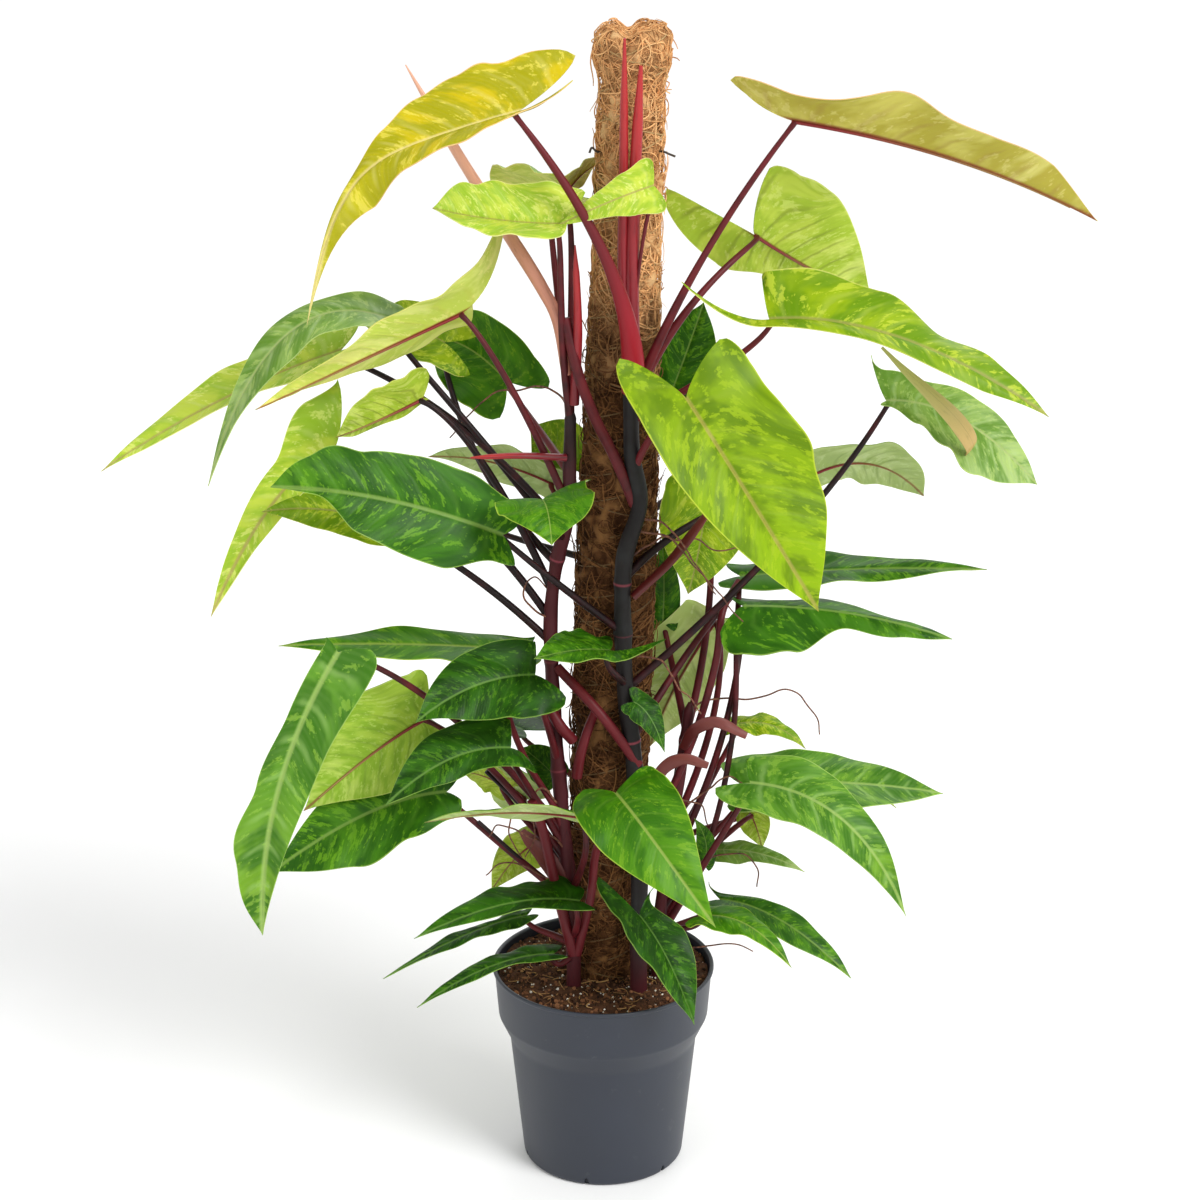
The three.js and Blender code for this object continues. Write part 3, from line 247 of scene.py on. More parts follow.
# Large leaves, each a piece of its own
LEAVES = [
    Leaf("leaf_01", "front", 705, (34, -78, 812), (-65, -70, 935), (-135, -100, 922), (-224, -130, 893),
         (0, -0.3, 0.95), 96, ((42, 12), (66, 42)), "gold", "olive", fold=25, hang=108, lift=(16, -6),
         wave=(3, 2.2, 0.1), stalk=6, hook=8,
         wide=((0.3, 0.55, 0.7, 0.7, 0.6, 0.5), (1.15, 1.02, 0.88, 0.62, 0.3, 0.25)), sleeve=5,
         sag=((0, 2, -6, -12, -24, -12), (3, 0, 0, 0, 0, 0))),
    Leaf("leaf_02", "front", 690, (60, -40, 805), (145, -30, 920), (275, -60, 905), (375, -90, 855),
         (0, 0.42, 0.9), 94, ((50, 18), (50, 22)), "gold", "olive", fold=34, lift=(14, 8),
         wave=(5, 2.6, 0.6), sleeve=1.5, sag=(FLAT, (-9, -1, 3, 4, 10, 6))),
    # leaf_03's underside takes the paler cream look: painted light on an underside that lies in shade
    Leaf("leaf_03", "left", 670, (-32, -20, 755), (-40, 5, 855), (-60, 40, 850), (-86, 75, 828),
         (0.1, 0.75, 0.6), 84, ((50, 24), (50, 14)), "lime", "cream_under"),
    Leaf("leaf_04", "left", 680, (-38, -46, 770), (-34, -58, 845), (-82, -58, 845), (-131, -66, 859),
         (0, -0.57, 0.82), 72, ((6, 8), (20, 24)), "pale", "lime_under", fold=38, lift=(2, 4), droop=8,
         wide=((0.9, 1, 1.2, 3.4), (1, 1, 1.2, 3.2))),
    Leaf("leaf_06", "left", 605, (-62, -48, 698), (-110, -40, 770), (-180, -55, 740), (-270, -90, 705),
         (0.2, 0.6, 0.77), 80, ((62, 22), (16, 34)), "lime", "cream_under", fold=12, lift=(46, 34),
         wide=((1.2, 1, 1, 1), EVEN)),
    Leaf("leaf_07", "left", 555, (-125, 45, 620), (-130, 47, 720), (-168, 52, 740), (-198, 76, 727),
         (0, -0.6, 0.8), 56, ((32, 18), (24, 22)), "lime", "lime_under", fold=10),
    Leaf("leaf_08", "left", 575, (-110, 22, 665), (-170, 2, 752), (-262, -45, 803), (-313, -60, 632),
         (-0.3, -0.35, 0.88), 62, ((18, 18), (18, 20)), "sheen", fold=12,
         wide=((1, 1.1, 1.2, 1), (0.9, 0.7, 0.6, 0.9))),
    Leaf("leaf_09", "left", 585, (-130, 24, 692), (-213, 24, 719), (-306, 15, 690), (-406, -5, 626),
         (0, -0.2, 0.98), 72, ((20, 20), (20, 20)), "pale", "lime_under", fold=16,
         wide=((0.8, 0.8, 0.8, 1), EVEN)),
    Leaf("leaf_10", "left", 505, (-130, 10, 630), (-217, 8, 643), (-272, -20, 620), (-317, -50, 517),
         (-0.3, -0.9, 0.3), 84, ((10, 12), (30, 48)), "pale", fold=10, lift=(4, 4),
         wide=((0.4, 0.35, 0.4, 0.6), (1.1, 0.5, 0.45, 0.7))),
    Leaf("leaf_12", "left", 530, (-100, -8, 660), (-145, -10, 690), (-178, -25, 676), (-213, -36, 665),
         (0, 0.8, 0.5), 68, ((12, 18), (6, 10)), "lime", "lime_under",
         wide=((1, 1, 1.3, 1.8), (0.25, 0.3, 0.4, 0.6))),
    Leaf("leaf_13", "left", 635, (-55, 45, 650), (-80, 60, 683), (-115, 80, 718), (-150, 100, 708),
         (0, -0.75, 0.6), 84, ((22, 26), (28, 22)), "fresh", fold=10,
         wide=(EVEN, (0.8, 0.8, 1, 1))),
    Leaf("leaf_16", "front", 500, (-45, -60, 555), (-80, -70, 595), (-175, -90, 642), (-260, -100, 645),
         (0, -0.85, 0.5), 84, ((16, 20), (8, 10)), "green", fold=10, wave=(4, 1.6, 0.2),
         wide=((0.6, 1, 1, 1, 0.25, 0.2), (0.7, 0.9, 1, 1.1, 1.8, 3))),
    Leaf("leaf_17", "left", 485, (-110, -10, 550), (-165, -20, 585), (-225, -25, 608), (-275, -30, 600),
         (0, -0.7, 0.7), 44, ((12, 14), (12, 14)), "lime"),
    Leaf("leaf_19", "left", 610, (-25, 25, 592), (-40, 40, 600), (-95, 50, 625), (-145, 60, 617),
         (0, 0.8, 0.5), 46, ((14, 16), (14, 16)), "green"),
    Leaf("leaf_20", "left", 605, (-22, 40, 592), (-25, 62, 605), (-40, 72, 630), (-62, 82, 635),
         (0, -0.8, 0.6), 58, ((14, 20), (14, 20)), "lime", "lime_under"),
    Leaf("leaf_21", "left", 580, (-42, -60, 592), (-48, -85, 630), (-42, -112, 634), (-40, -130, 608),
         (0, -0.5, 0.85), 80, ((12, 44), (10, 36)), "fresh", fold=10),
    Leaf("leaf_23", "front", 640, (40, -60, 685), (64, -98, 717), (109, -140, 657), (168, -128, 552),
         (0.35, -0.85, 0.38), 116, ((26, 46), (50, 34)), "bright", "lime_under", fold=16,
         wave=(4, 1.8, 0.4), wide=((1.1, 1.05, 1.2, 1.5, 1.6), (0.9, 0.85, 0.85, 1))),
    Leaf("leaf_25", "front", 695, (66, -40, 795), (120, 25, 815), (158, 55, 782), (225, 110, 735),
         (-0.25, 0.92, 0.3), 128, ((80, 16), (30, 50)), "lime", "lime_under", fold=12, lift=(20, 2),
         sleeve=1.5, wide=((0.68, 0.4, 0.4, 0.6), EVEN)),
    Leaf("leaf_27", "front", 680, (112, -38, 732), (130, -38, 763), (228, -52, 775), (350, -62, 690),
         (0, -0.3, 0.95), 84, ((6, 40), (62, 12)), "lime", fold=20, lift=(2, 44),
         wave=(4, 2, 0.1), wide=((1, 1, 1, 1, 1.4, 1.6), (0.5, 0.5, 0.7, 1)),
         sag=((8, 14, 0, -14, -2, 4), (0, -4, -8, -6))),
    Leaf("leaf_28", "front", 450, (185, 0, 585), (230, 30, 675), (290, 20, 682), (352, 0, 613),
         (0.2, -0.6, 0.75), 76, ((12, 42), (4, 6)), "sheen", fold=10,
         wide=((0.8, 0.6, 0.7, 1, 1.5), (0.15, 0.6, 1.1, 2, 4))),
    Leaf("leaf_30", "front", 545, (80, 0, 610), (170, 60, 600), (225, 70, 628), (270, 90, 572),
         (0, 0.8, 0.5), 56, ((14, 18), (14, 18)), "green", fold=6,
         wide=((0.7, 0.8, 1.2, 2.4), (0.9, 1, 1.4, 2.5))),
    Leaf("leaf_31", "front", 405, (88, 12, 500), (115, 38, 520), (215, 14, 538), (312, -20, 547),
         (0, -0.14, 1), 56, ((16, 18), (16, 18)), "green", wave=(3, 2, 0.5)),
    Leaf("leaf_32", "right", 270, (120, -5, 405), (115, -10, 512), (205, -20, 517), (285, -30, 490),
         (0, -0.2, 0.98), 78, ((12, 22), (18, 28)), "green", fold=-18,
         wide=((1, 0.9, 0.8, 1), (1.3, 1.1, 0.45, 0.7, 1.4))),
    Leaf("leaf_33", "right", 310, (112, 25, 415), (95, 40, 480), (57, 45, 420), (40, 50, 360),
         (0.1, 0.95, 0.2), 84, ((4, 14), (8, 14)), "green", "painted_light_under",
         wide=((0.8, 1, 1, 1), (0.5, 0.75, 0.9, 1))),
    Leaf("leaf_35", "right", 395, (104, 50, 505), (85, 25, 600), (82, 20, 555), (70, 15, 512),
         (0.1, -0.9, 0.3), 76, ((14, 22), (14, 22)), "lime", "lime_under"),
    Leaf("leaf_36", "back", 640, (45, 52, 650), (55, 60, 670), (72, 65, 715), (82, 65, 748),
         (0, -0.9, 0.3), 56, ((14, 20), (14, 20)), "green"),
    Leaf("leaf_37", "front", 455, (10, -64, 473), (5, -66, 495), (-20, -94, 510), (-55, -110, 505),
         (0, -0.35, 0.93), 58, ((34, 20), (22, 22)), "green", fold=6, lift=(26, 2),
         wide=((0.6, 0.6, 0.7, 1), EVEN)),
    Leaf("leaf_38", "left", 380, (-48, -52, 435), (-55, -62, 472), (-105, -85, 482), (-150, -110, 450),
         (0, -0.7, 0.7), 76, ((22, 22), (4, 28)), "dark", fold=6,
         wide=(EVEN, (0.85, 0.85, 0.9, 1))),
    Leaf("leaf_39", "left", 395, (-58, -8, 435), (-66, -5, 470), (-150, -20, 485), (-264, -45, 490),
         (0, -0.15, 0.98), 68, ((12, 18), (12, 20)), "fresh", wave=(4, 2, 0.3),
         wide=(EVEN, (0.6, 0.7, 0.9, 1))),
    Leaf("leaf_40", "left", 315, (-125, -45, 455), (-210, -110, 510), (-275, -150, 411), (-274, -150, 281),
         (-0.1, -0.85, 0.4), 74, ((16, 22), (6, 14)), "streaked", fold=10,
         wide=((1, 0.8, 0.75, 0.8), (0.35, 0.35, 0.55, 1.3, 2.6))),
    Leaf("leaf_41", "left", 290, (-85, -40, 385), (-145, -40, 425), (-182, -55, 410), (-245, -78, 358),
         (0.2, 0.9, 0.3), 100, ((14, 34), (14, 34)), "green", "fern_under", fold=6),
    Leaf("leaf_42", "left", 255, (-80, -30, 300), (-130, -35, 356), (-190, -62, 364), (-272, -90, 308),
         (0, -0.7, 0.7), 82, ((10, 10), (20, 24)), "green",
         wide=((0.65, 0.9, 1.4, 2.2), EVEN)),
    Leaf("leaf_43", "left", 300, (-60, -42, 365), (-75, -72, 412), (-125, -100, 428), (-175, -120, 382),
         (0, -0.6, 0.8), 72, ((26, 16), (4, 24)), "dark", fold=6, lift=(-12, 2),
         wide=((0.55, 0.55, 0.7, 1), (0.85, 0.85, 0.9, 1))),
    Leaf("leaf_44", "left", 260, (-12, -66, 310), (-15, -76, 352), (-80, -90, 370), (-145, -100, 358),
         (0, 0.6, 0.8), 46, ((12, 14), (12, 14)), "green"),
    Leaf("leaf_46", "left", 222, (-20, -58, 245), (-20, -66, 271), (-77, -86, 291), (-155, -110, 258),
         (0, -0.2, 0.97), 46, ((10, 14), (8, 14)), "dark", fold=6,
         wide=((0.6, 0.6, 0.7, 1), (1.5, 1.3, 1.2, 1.2))),
    Leaf("leaf_47", "left", 215, (-48, -22, 222), (-65, -20, 235), (-115, -40, 234), (-185, -60, 195),
         (0, 0, 1), 24, ((8, 8), (8, 8)), "dark"),
    Leaf("leaf_48", "left", 206, (-34, -48, 204), (-42, -52, 215), (-92, -66, 222), (-155, -92, 185),
         (0, -0.1, 0.98), 32, ((10, 10), (10, 10)), "dark",
         wide=((0.6, 0.6, 0.7, 1), EVEN)),
    Leaf("leaf_49", "front", 305, (20, -70, 350), (10, -90, 380), (27, -140, 382), (90, -162, 294),
         (0.1, -0.85, 0.5), 82, ((8, 28), (24, 20)), "fresh", wave=(3, 1.6, 0.2)),
    Leaf("leaf_50", "front", 225, (27, -60, 245), (30, -75, 262), (55, -102, 242), (75, -118, 183),
         (0.55, -0.7, 0.45), 64, ((12, 24), (44, 14)), "dark", fold=26,
         wide=((0.45, 0.8, 0.85, 1), EVEN)),
    Leaf("leaf_51", "front", 240, (50, -50, 236), (80, -56, 252), (122, -74, 268), (156, -90, 221),
         (0.1, -0.2, 0.95), 36, ((8, 12), (8, 12)), "fresh"),
    Leaf("leaf_52", "right", 215, (78, -10, 228), (100, 0, 240), (150, -20, 245), (210, -40, 185),
         (0.1, -0.25, 0.95), 54, ((16, 18), (16, 18)), "green", fold=10,
         wide=((0.3, 0.45, 0.9, 1.4), EVEN)),
    Leaf("leaf_54", "right", 265, (100, -12, 310), (120, -15, 352), (195, -15, 362), (285, -10, 343),
         (0, -0.3, 0.95), 78, ((20, 24), (18, 26)), "streaked",
         wide=(EVEN, (1, 1, 1.2, 1.6))),
    Leaf("leaf_55", "right", 210, (100, -55, 330), (120, -70, 380), (206, -102, 387), (247, -112, 279),
         (0.1, -0.5, 0.85), 62, ((8, 22), (26, 12)), "streaked", fold=10, wave=(3, 1.8, 0.7),
         wide=((1, 1, 0.8, 0.7), EVEN)),
]
# Small leaves, each in one piece with its stem
SMALL_LEAVES = [
    Leaf("small_1", "front", 425, (20, -52, 438), (25, -55, 445), (40, -60, 440), (50, -66, 405),
         (0.3, -0.8, 0.5), 26, ((8, 8), (8, 8)), "dark"),
    Leaf("small_2", "left", 270, (-50, 20, 295), (-65, 30, 320), (-92, 36, 345), (-122, 42, 338),
         (0, 0.9, 0.4), 50, ((12, 16), (12, 16)), "green"),
    Leaf("small_3", "right", 280, (90, 24, 340), (110, 24, 392), (145, 14, 405), (170, 8, 376),
         (0, -0.3, 0.95), 26, ((10, 8), (10, 8)), "lime", "lime_under"),
    Leaf("small_4", "right", 230, (65, -5, 260), (85, 0, 285), (130, -10, 297), (170, -20, 275),
         (0, -0.4, 0.9), 24, ((8, 8), (8, 8)), "sheen"),
    Leaf("small_5", "right", 255, (100, 15, 290), (125, 20, 312), (131, 20, 300), (136, 20, 278),
         (0, 0.9, 0.2), 28, ((6, 10), (6, 10)), "green", "lime_under"),
    Leaf("small_6", "right", 220, (72, -8, 262), (85, -22, 285), (91, -22, 305), (76, -22, 326),
         (0, -0.9, 0.3), 18, ((6, 6), (6, 6)), "green"),
    Leaf("small_7", "left", 300, (-35, -12, 340), (-42, -8, 360), (-56, -8, 376), (-68, -12, 386),
         (0, -0.8, 0.5), 32, ((8, 10), (8, 10)), "green"),
    Leaf("small_11", "front", 705, (24, -36, 850), (38, -70, 878), (2, -72, 866), (-34, -62, 845),
         (0, -0.85, 0.5), 46, ((5, 17), (5, 17)), "pale", "lime_under", fold=2, stalk=1, droop=2,
         wide=((1.05, 0.75, 0.57, 0.55, 0.8), (1.05, 0.75, 0.57, 0.55, 0.8)), wave=(1, 1.2, 0.1)),
    Leaf("small_12", "left", 285, (-50, -20, 310), (-82, -15, 352), (-100, -15, 366), (-122, -15, 366),
         (0, 0.8, 0.5), 34, ((10, 12), (10, 12)), "lime", "lime_under"),
    Leaf("small_10", "left", 675, (-26, -10, 775), (-34, 5, 848), (-18, 25, 870), (2, 40, 872),
         (0, 0.75, 0.6), 36, ((8, 12), (8, 12)), "lime", "olive"),
    Leaf("small_9", "right", 400, (62, 10, 430), (50, 42, 478), (52, 48, 515), (49, 46, 548),
         (0, -0.9, 0.3), 28, ((8, 10), (8, 10)), "green", "fern_under"),
    Leaf("small_8", "left", 255, (-40, 10, 270), (-55, 20, 285), (-76, 20, 276), (-96, 15, 240),
         (0, 0.9, 0.3), 44, ((10, 14), (10, 14)), "green", "lime_under"),
]
# Leaves of the back stem, in one piece with it
BACK_LEAVES = [
    Leaf("back_1", "back", 730, (32, 62, 735), (18, 84, 745), (16, 165, 788), (20, 230, 745),
         (0, 0, 1), 52, ((16, 14), (16, 14)), "lime", "lime_under", fold=12),
    Leaf("back_2", "back", 560, (62, 75, 585), (88, 112, 600), (100, 165, 620), (115, 210, 575),
         (0.2, 0.3, 0.9), 76, ((20, 22), (20, 22)), "lime", fold=10),
    Leaf("back_3", "back", 520, (-50, 75, 535), (-110, 100, 555), (-155, 130, 575), (-215, 160, 530),
         (-0.2, 0.3, 0.9), 72, ((20, 20), (20, 20)), "green", fold=10),
    Leaf("back_4", "back", 500, (14, 64, 540), (8, 90, 555), (10, 160, 585), (12, 235, 530),
         (0, 0, 1), 54, ((16, 14), (16, 14)), "green", fold=12),
    Leaf("back_5", "back", 300, (-30, 70, 340), (-70, 92, 358), (-105, 120, 365), (-158, 150, 315),
         (-0.2, 0.3, 0.9), 74, ((20, 22), (20, 22)), "dark", fold=10),
    Leaf("back_6", "back", 350, (2, 64, 390), (3, 88, 402), (5, 150, 432), (8, 215, 380),
         (0, 0, 1), 54, ((16, 14), (16, 14)), "green", fold=12),
    Leaf("back_7", "back", 250, (90, 60, 285), (158, 74, 308), (208, 90, 325), (258, 110, 275),
         (0.2, 0.2, 0.9), 58, ((16, 16), (16, 16)), "fresh", fold=10),
    Leaf("back_8", "back", 220, (20, 70, 245), (42, 95, 256), (54, 135, 255), (72, 175, 200),
         (0.2, 0.3, 0.9), 56, ((16, 16), (16, 16)), "dark", fold=10),
]

# Spears and sheaths, from the foot to the tip: the way that the section is wide, its half axes at
# the foot, the middle and the tip, and the points of each arm
SHEATHS = {
    "spears_top": ("spear", (1, 0, 0), (
        (((20, -39, 715.5), (15.5, -39, 780), (15.5, -38, 880), (16, -37, 984)),
         (5.4, 5, 1.1), (4.6, 4.2, 1)),
        (((24, -39, 715.5), (22, -39, 780), (24, -38, 870), (28.5, -37, 963)),
         (7, 6.2, 1.7), (6.2, 5.6, 1.5)))),
    "spear_side": ("spear", (1, 0, 0), (
        (((-23, -40, 694), (-20, -46, 755), (-22, -47, 825)), (4.2, 4.2, 0.5), (4, 3.6, 0.5)),)),
    "spear_left": ("spear", (0, 0, 1), (
        (((-30, -42, 650), (-65, -52, 655), (-105, -60, 656)), (4.5, 4, 0.6), (3, 2.6, 0.6)),)),
    "sheath_left": ("blush", (1, 0, 0), (
        (((-29, -38, 718), (-37, -35, 764), (-49, -28, 787), (-81, -8, 834), (-115, 14, 884),
          (-155, 30, 950)), (5, 6.4, 0.5), (4, 5, 0.5)),)),
    "strap_right": ("sheath", (0.5, 0, -0.8), (
        (((24, -43, 532), (55, -38, 562), (78, -28, 590), (88, -20, 602)), (5, 6, 3), (2.4, 2, 1.2)),)),
    "curl_right": ("sheath", (0, 1, 0), (
        (((66, -18, 388), (76, -34, 412), (92, -38, 420), (118, -34, 406)), (4, 6, 3), (1.6, 1.4, 1)),)),
    "curl_front": ("sheath", (0, 1, 0), (
        (((34, -44, 348), (50, -50, 384), (66, -54, 394), (86, -54, 388)), (4, 6, 3), (1.6, 1.4, 1)),)),
    "sheath_low": ("sheath", (1, 0, 1), (
        (((-26, -36, 252), (-46, -38, 294), (-68, -38, 322)), (6, 9, 3), (2, 1.8, 1)),)),
}

# Bare stalks of leaves hidden in the bundle: the stem each belongs to, the radius at both ends, how
# red it is, and its points
BARE_STALKS = (
    ("front", (4.2, 4.6), 0.6, ((-30, -42, 765), (-20, -48, 722), (-7, -49, 686), (9, -47, 652),
     (25, -40, 610))),
    ("left", (4.2, 4.4), 0.75, ((-38, -26, 464), (-2, -48, 431), (29, -43, 384))),
    ("left", (4.8, 4.8), 0.95, ((-48, -30, 436), (-35, -38, 416), (-25, -34, 402))),
    ("left", (3.6, 4.6), 1.1, ((-4, -28, 432), (-13, -36, 411), (-19, -38, 390), (-22, -36, 370))),
    ("left", (4, 4.6), 0.95, ((-59, -46, 353), (-51, -44, 328), (-39, -44, 270), (-25, -40, 208))),
    ("left", (3.2, 3.8), 1.1, ((20, -62, 342), (-2, -56, 322), (-11, -46, 262), (-22, -40, 208))),
    ("left", (2.6, 3), 0.7, ((-76, -68, 456), (-77, -50, 430), (-63, -38, 384), (-39, -33, 337),
     (-31, -32, 305))),
    ("left", (1.8, 2.2), 0.1, ((-97, -36, 375), (-68, -35, 343), (-31, -33, 298))),
    ("left", (1.5, 1.8), 0.1, ((-104, -33, 328), (-51, -31, 275), (-26, -34, 256))),
    ("right", (3, 3.4), 0.65, ((112, 24, 520), (98, -8, 506), (93, -20, 469), (79, -20, 411),
     (58, -14, 350))),
    ("right", (2.4, 2.6), 0.45, ((113, 28, 519), (110, -6, 483), (108, -14, 403), (86, -15, 294),
     (50, -15, 238))),
)

# The dark ends of the tie round the pole's upper part
TIE_ENDS = (
    ((2, -8, 890), (-5, -10, 890), (-9, -9, 893), (-11, -10, 889)),
    ((40, -8, 890), (47, -10, 890), (51, -9, 888), (56, -9, 886)),
)

# The dry rolled margin that hangs over leaf_28
ROLLED_MARGIN = ((222, -4, 730), (240, -10, 713), (262, -18, 694), (283, -22, 673), (295, -18, 653),
                 (292, 0, 638))

# Aerial roots: the stem that each leaves, and its points from there outwards
ROOT = {"radius": (1.0, 0.55), "steps": 12, "sides": 6, "wander": 1.2, "size": 26}
ROOTS = (
    ("right", ((70, -8, 418), (95, 0, 426), (130, 0, 424), (152, 0, 434), (176, 0, 412), (180, 0, 392))),
    ("front", ((17, -42, 560), (45, -28, 576), (70, -16, 570), (95, -12, 562), (118, -12, 566))),
    ("front", ((24, -42, 590), (50, -46, 586), (75, -42, 556), (92, -40, 535))),
    ("front", ((17, -41, 478), (45, -50, 480), (62, -54, 456), (80, -54, 435))),
    ("front", ((24, -42, 602), (51, -44, 592), (75, -46, 560), (113, -42, 510))),
    ("right", ((47, -15, 206), (60, -22, 204), (90, -30, 212), (114, -30, 211), (126, -30, 204))),
    ("left", ((-30, -34, 262), (-58, -40, 285), (-84, -40, 292), (-100, -36, 280))),
    ("left", ((-32, -34, 298), (-62, -42, 318), (-88, -44, 330), (-96, -40, 316))),
    ("right", ((50, -15, 262), (80, -24, 285), (112, -26, 296), (128, -24, 282), (130, -20, 262))),
    ("right", ((58, -14, 320), (84, -26, 352), (104, -30, 368), (118, -28, 360))),
    ("front", ((30, -41, 330), (58, -46, 352), (80, -44, 348), (88, -40, 330))),
    ("left", ((-30, -34, 300), (-54, -44, 330), (-72, -46, 344), (-78, -44, 324), (-68, -42, 300))),
    ("left", ((-42, -24, 505), (-58, -34, 520), (-66, -38, 536), (-56, -42, 549), (-46, -42, 538))),
    ("left", ((-34, -30, 340), (-52, -40, 362), (-60, -42, 350), (-58, -42, 318), (-66, -42, 300))),
    ("left", ((-26, -37, 686), (-40, -20, 700), (-70, 8, 692), (-92, 14, 685), (-106, 18, 668),
              (-125, 20, 645))),
)

# Looks of a leaf's side: ground colour, darker ground, fleck, side vein, midrib, margin and ground
# colour at the point, then the share of flecks and the strength of the side veins
UPPER_LOOKS = {
    "gold": (
        (194, 174, 2), (156, 152, 4), (222, 208, 84), (216, 208, 120), (214, 200, 130), (232, 186, 140),
        (180, 174, 24), 0.3, 0.3),
    "pale": (
        (190, 206, 70), (150, 184, 44), (216, 224, 120), (206, 214, 130), (170, 156, 90), (224, 222, 150),
        (176, 196, 60), 0.4, 0.3),
    "bright": (
        (122, 154, 4), (92, 124, 1), (146, 174, 18), (138, 160, 44), (156, 150, 70), (186, 200, 60),
        (134, 168, 6), 0.5, 0.22),
    "lime": (
        (142, 169, 10), (100, 140, 4), (188, 202, 58), (176, 190, 90), (150, 150, 76), (206, 208, 110),
        (116, 150, 36), 0.45, 0.28),
    "fresh": (
        (68, 124, 5), (48, 102, 3), (118, 162, 30), (112, 156, 48), (138, 160, 72), (170, 196, 70),
        (86, 140, 14), 0.26, 0.28),
    "green": (
        (52, 106, 5), (34, 82, 3), (104, 156, 26), (88, 136, 40), (116, 148, 66), (146, 176, 78),
        (70, 122, 12), 0.38, 0.28),
    "dark": (
        (36, 84, 4), (22, 60, 3), (84, 136, 22), (70, 116, 34), (98, 136, 60), (126, 160, 66),
        (50, 100, 8), 0.28, 0.28),
    # The sheen look's pale grey-green is painted sheen: a glossy reflection laid over green leaves
    "sheen": (
        (122, 156, 64), (94, 134, 42), (164, 188, 100), (170, 194, 130), (160, 178, 110), (180, 200, 120),
        (156, 180, 110), 0.3, 0.4),
    "streaked": (
        (88, 138, 36), (58, 108, 18), (134, 174, 58), (144, 180, 98), (146, 174, 92), (160, 188, 96),
        (110, 154, 34), 0.3, 0.5),
}
UNDER_LOOKS = {
    "grey_under": (
        (190, 206, 142), (166, 186, 114), (204, 216, 160), (130, 150, 88), (136, 92, 66), (190, 206, 130),
        (176, 194, 124), 0.2, 0.5),
    "lime_under": (
        (183, 201, 74), (158, 184, 54), (206, 217, 112), (114, 128, 42), (116, 58, 46), (206, 214, 120),
        (196, 210, 110), 0.3, 0.6),
    "fern_under": (
        (154, 182, 62), (128, 162, 46), (180, 200, 100), (108, 138, 46), (116, 66, 46), (190, 204, 110),
        (168, 188, 90), 0.25, 0.45),
    "cream_under": (
        (214, 222, 122), (186, 202, 84), (230, 228, 140), (190, 186, 80), (140, 30, 34), (228, 206, 140),
        (222, 216, 110), 0.25, 0.3),
    # The olive underside is set paler: painted light on undersides that face down into shade
    "olive": (
        (196, 188, 92), (174, 164, 66), (214, 206, 124), (150, 120, 66), (128, 40, 42), (212, 186, 136),
        (202, 196, 112), 0.25, 0.4),
    # A paler copy of an underside: painted light on leaf_33, whose underside faces away from the light
    "painted_light_under": (
        (216, 230, 152), (192, 212, 126), (228, 238, 178), (156, 176, 100), (150, 110, 76), (216, 228, 152),
        (208, 222, 148), 0.2, 0.4),
}
LOOKS = {**UPPER_LOOKS, **UNDER_LOOKS}


def linear(red, green, blue):
    """A colour of 0 to 255 as the eye names it, as the linear triple that a property or shader takes."""
    shares = np.array([red, green, blue]) / 255
    low = shares / 12.92
    high = ((shares + 0.055) / 1.055) ** 2.4
    return tuple(float(v) for v in np.where(shares <= 0.04045, low, high))


def scaled(colour, factor):
    """The colour times a factor, or times one for each of its three numbers."""
    return tuple(np.multiply(tuple(colour), factor).tolist())


class PlantSizes(bpy.types.PropertyGroup):
    """Sizes that change how fine the plant is dressed."""

    blade: FloatProperty(
        name="Blade", description="Thickness of a leaf", default=0.7 * MM, unit="LENGTH")
    quilting: FloatProperty(
        name="Quilting", description="Height of the swells between side veins",
        default=0.28 * MM, unit="LENGTH")
    strands: IntProperty(
        name="Strands", description="Loose coir fibres in each of the pole's bundles", default=2300, min=0)
    crumbs: IntProperty(
        name="Crumbs", description="Crumbs of peat on the soil", default=1500, min=0)
    perlite: IntProperty(
        name="Perlite", description="White grains on the soil", default=170, min=0)


class PlantColours(bpy.types.PropertyGroup):
    """Colours of everything but the leaves, whose looks are in the tables above."""

    pot: FloatVectorProperty(
        name="Pot", description="Colour of the pot's plastic", subtype="COLOR", default=linear(37, 42, 53))
    soil: FloatVectorProperty(
        name="Soil", description="Colour of the peat", subtype="COLOR", default=linear(84, 54, 36))
    coir: FloatVectorProperty(
        name="Coir", description="Colour of the coconut fibre", subtype="COLOR",
        default=linear(212, 160, 106))
    stem: FloatVectorProperty(
        name="Stem", description="Colour of the old stems", subtype="COLOR", default=linear(27, 23, 23))
    stalk: FloatVectorProperty(
        name="Stalk", description="Colour of the leaf stalks", subtype="COLOR", default=linear(98, 26, 32))
    spear: FloatVectorProperty(
        name="Spear", description="Colour of the rolled new leaves", subtype="COLOR",
        default=linear(122, 12, 26))


class StageValues(bpy.types.PropertyGroup):
    """The camera, the lights and the floor."""

    distance: FloatProperty(
        name="Distance", description="How far the camera stands in front of the pot",
        default=2.5, unit="LENGTH")
    height: FloatProperty(
        name="Height", description="Height of the camera", default=1.467, unit="LENGTH")
    pitch: FloatProperty(
        name="Pitch", description="How far the camera looks down",
        default=math.radians(20.89), unit="ROTATION")
    lens: FloatProperty(
        name="Lens", description="Focal length in millimetres", default=97.62)
    key: FloatProperty(
        name="Key", description="Strength of the light from the right", default=2.0)
    ambience: FloatProperty(
        name="Ambience", description="Strength of the white studio", default=0.72)
    floor: FloatVectorProperty(
        name="Floor", description="Colour of the floor", subtype="COLOR", default=(0.92, 0.92, 0.92))


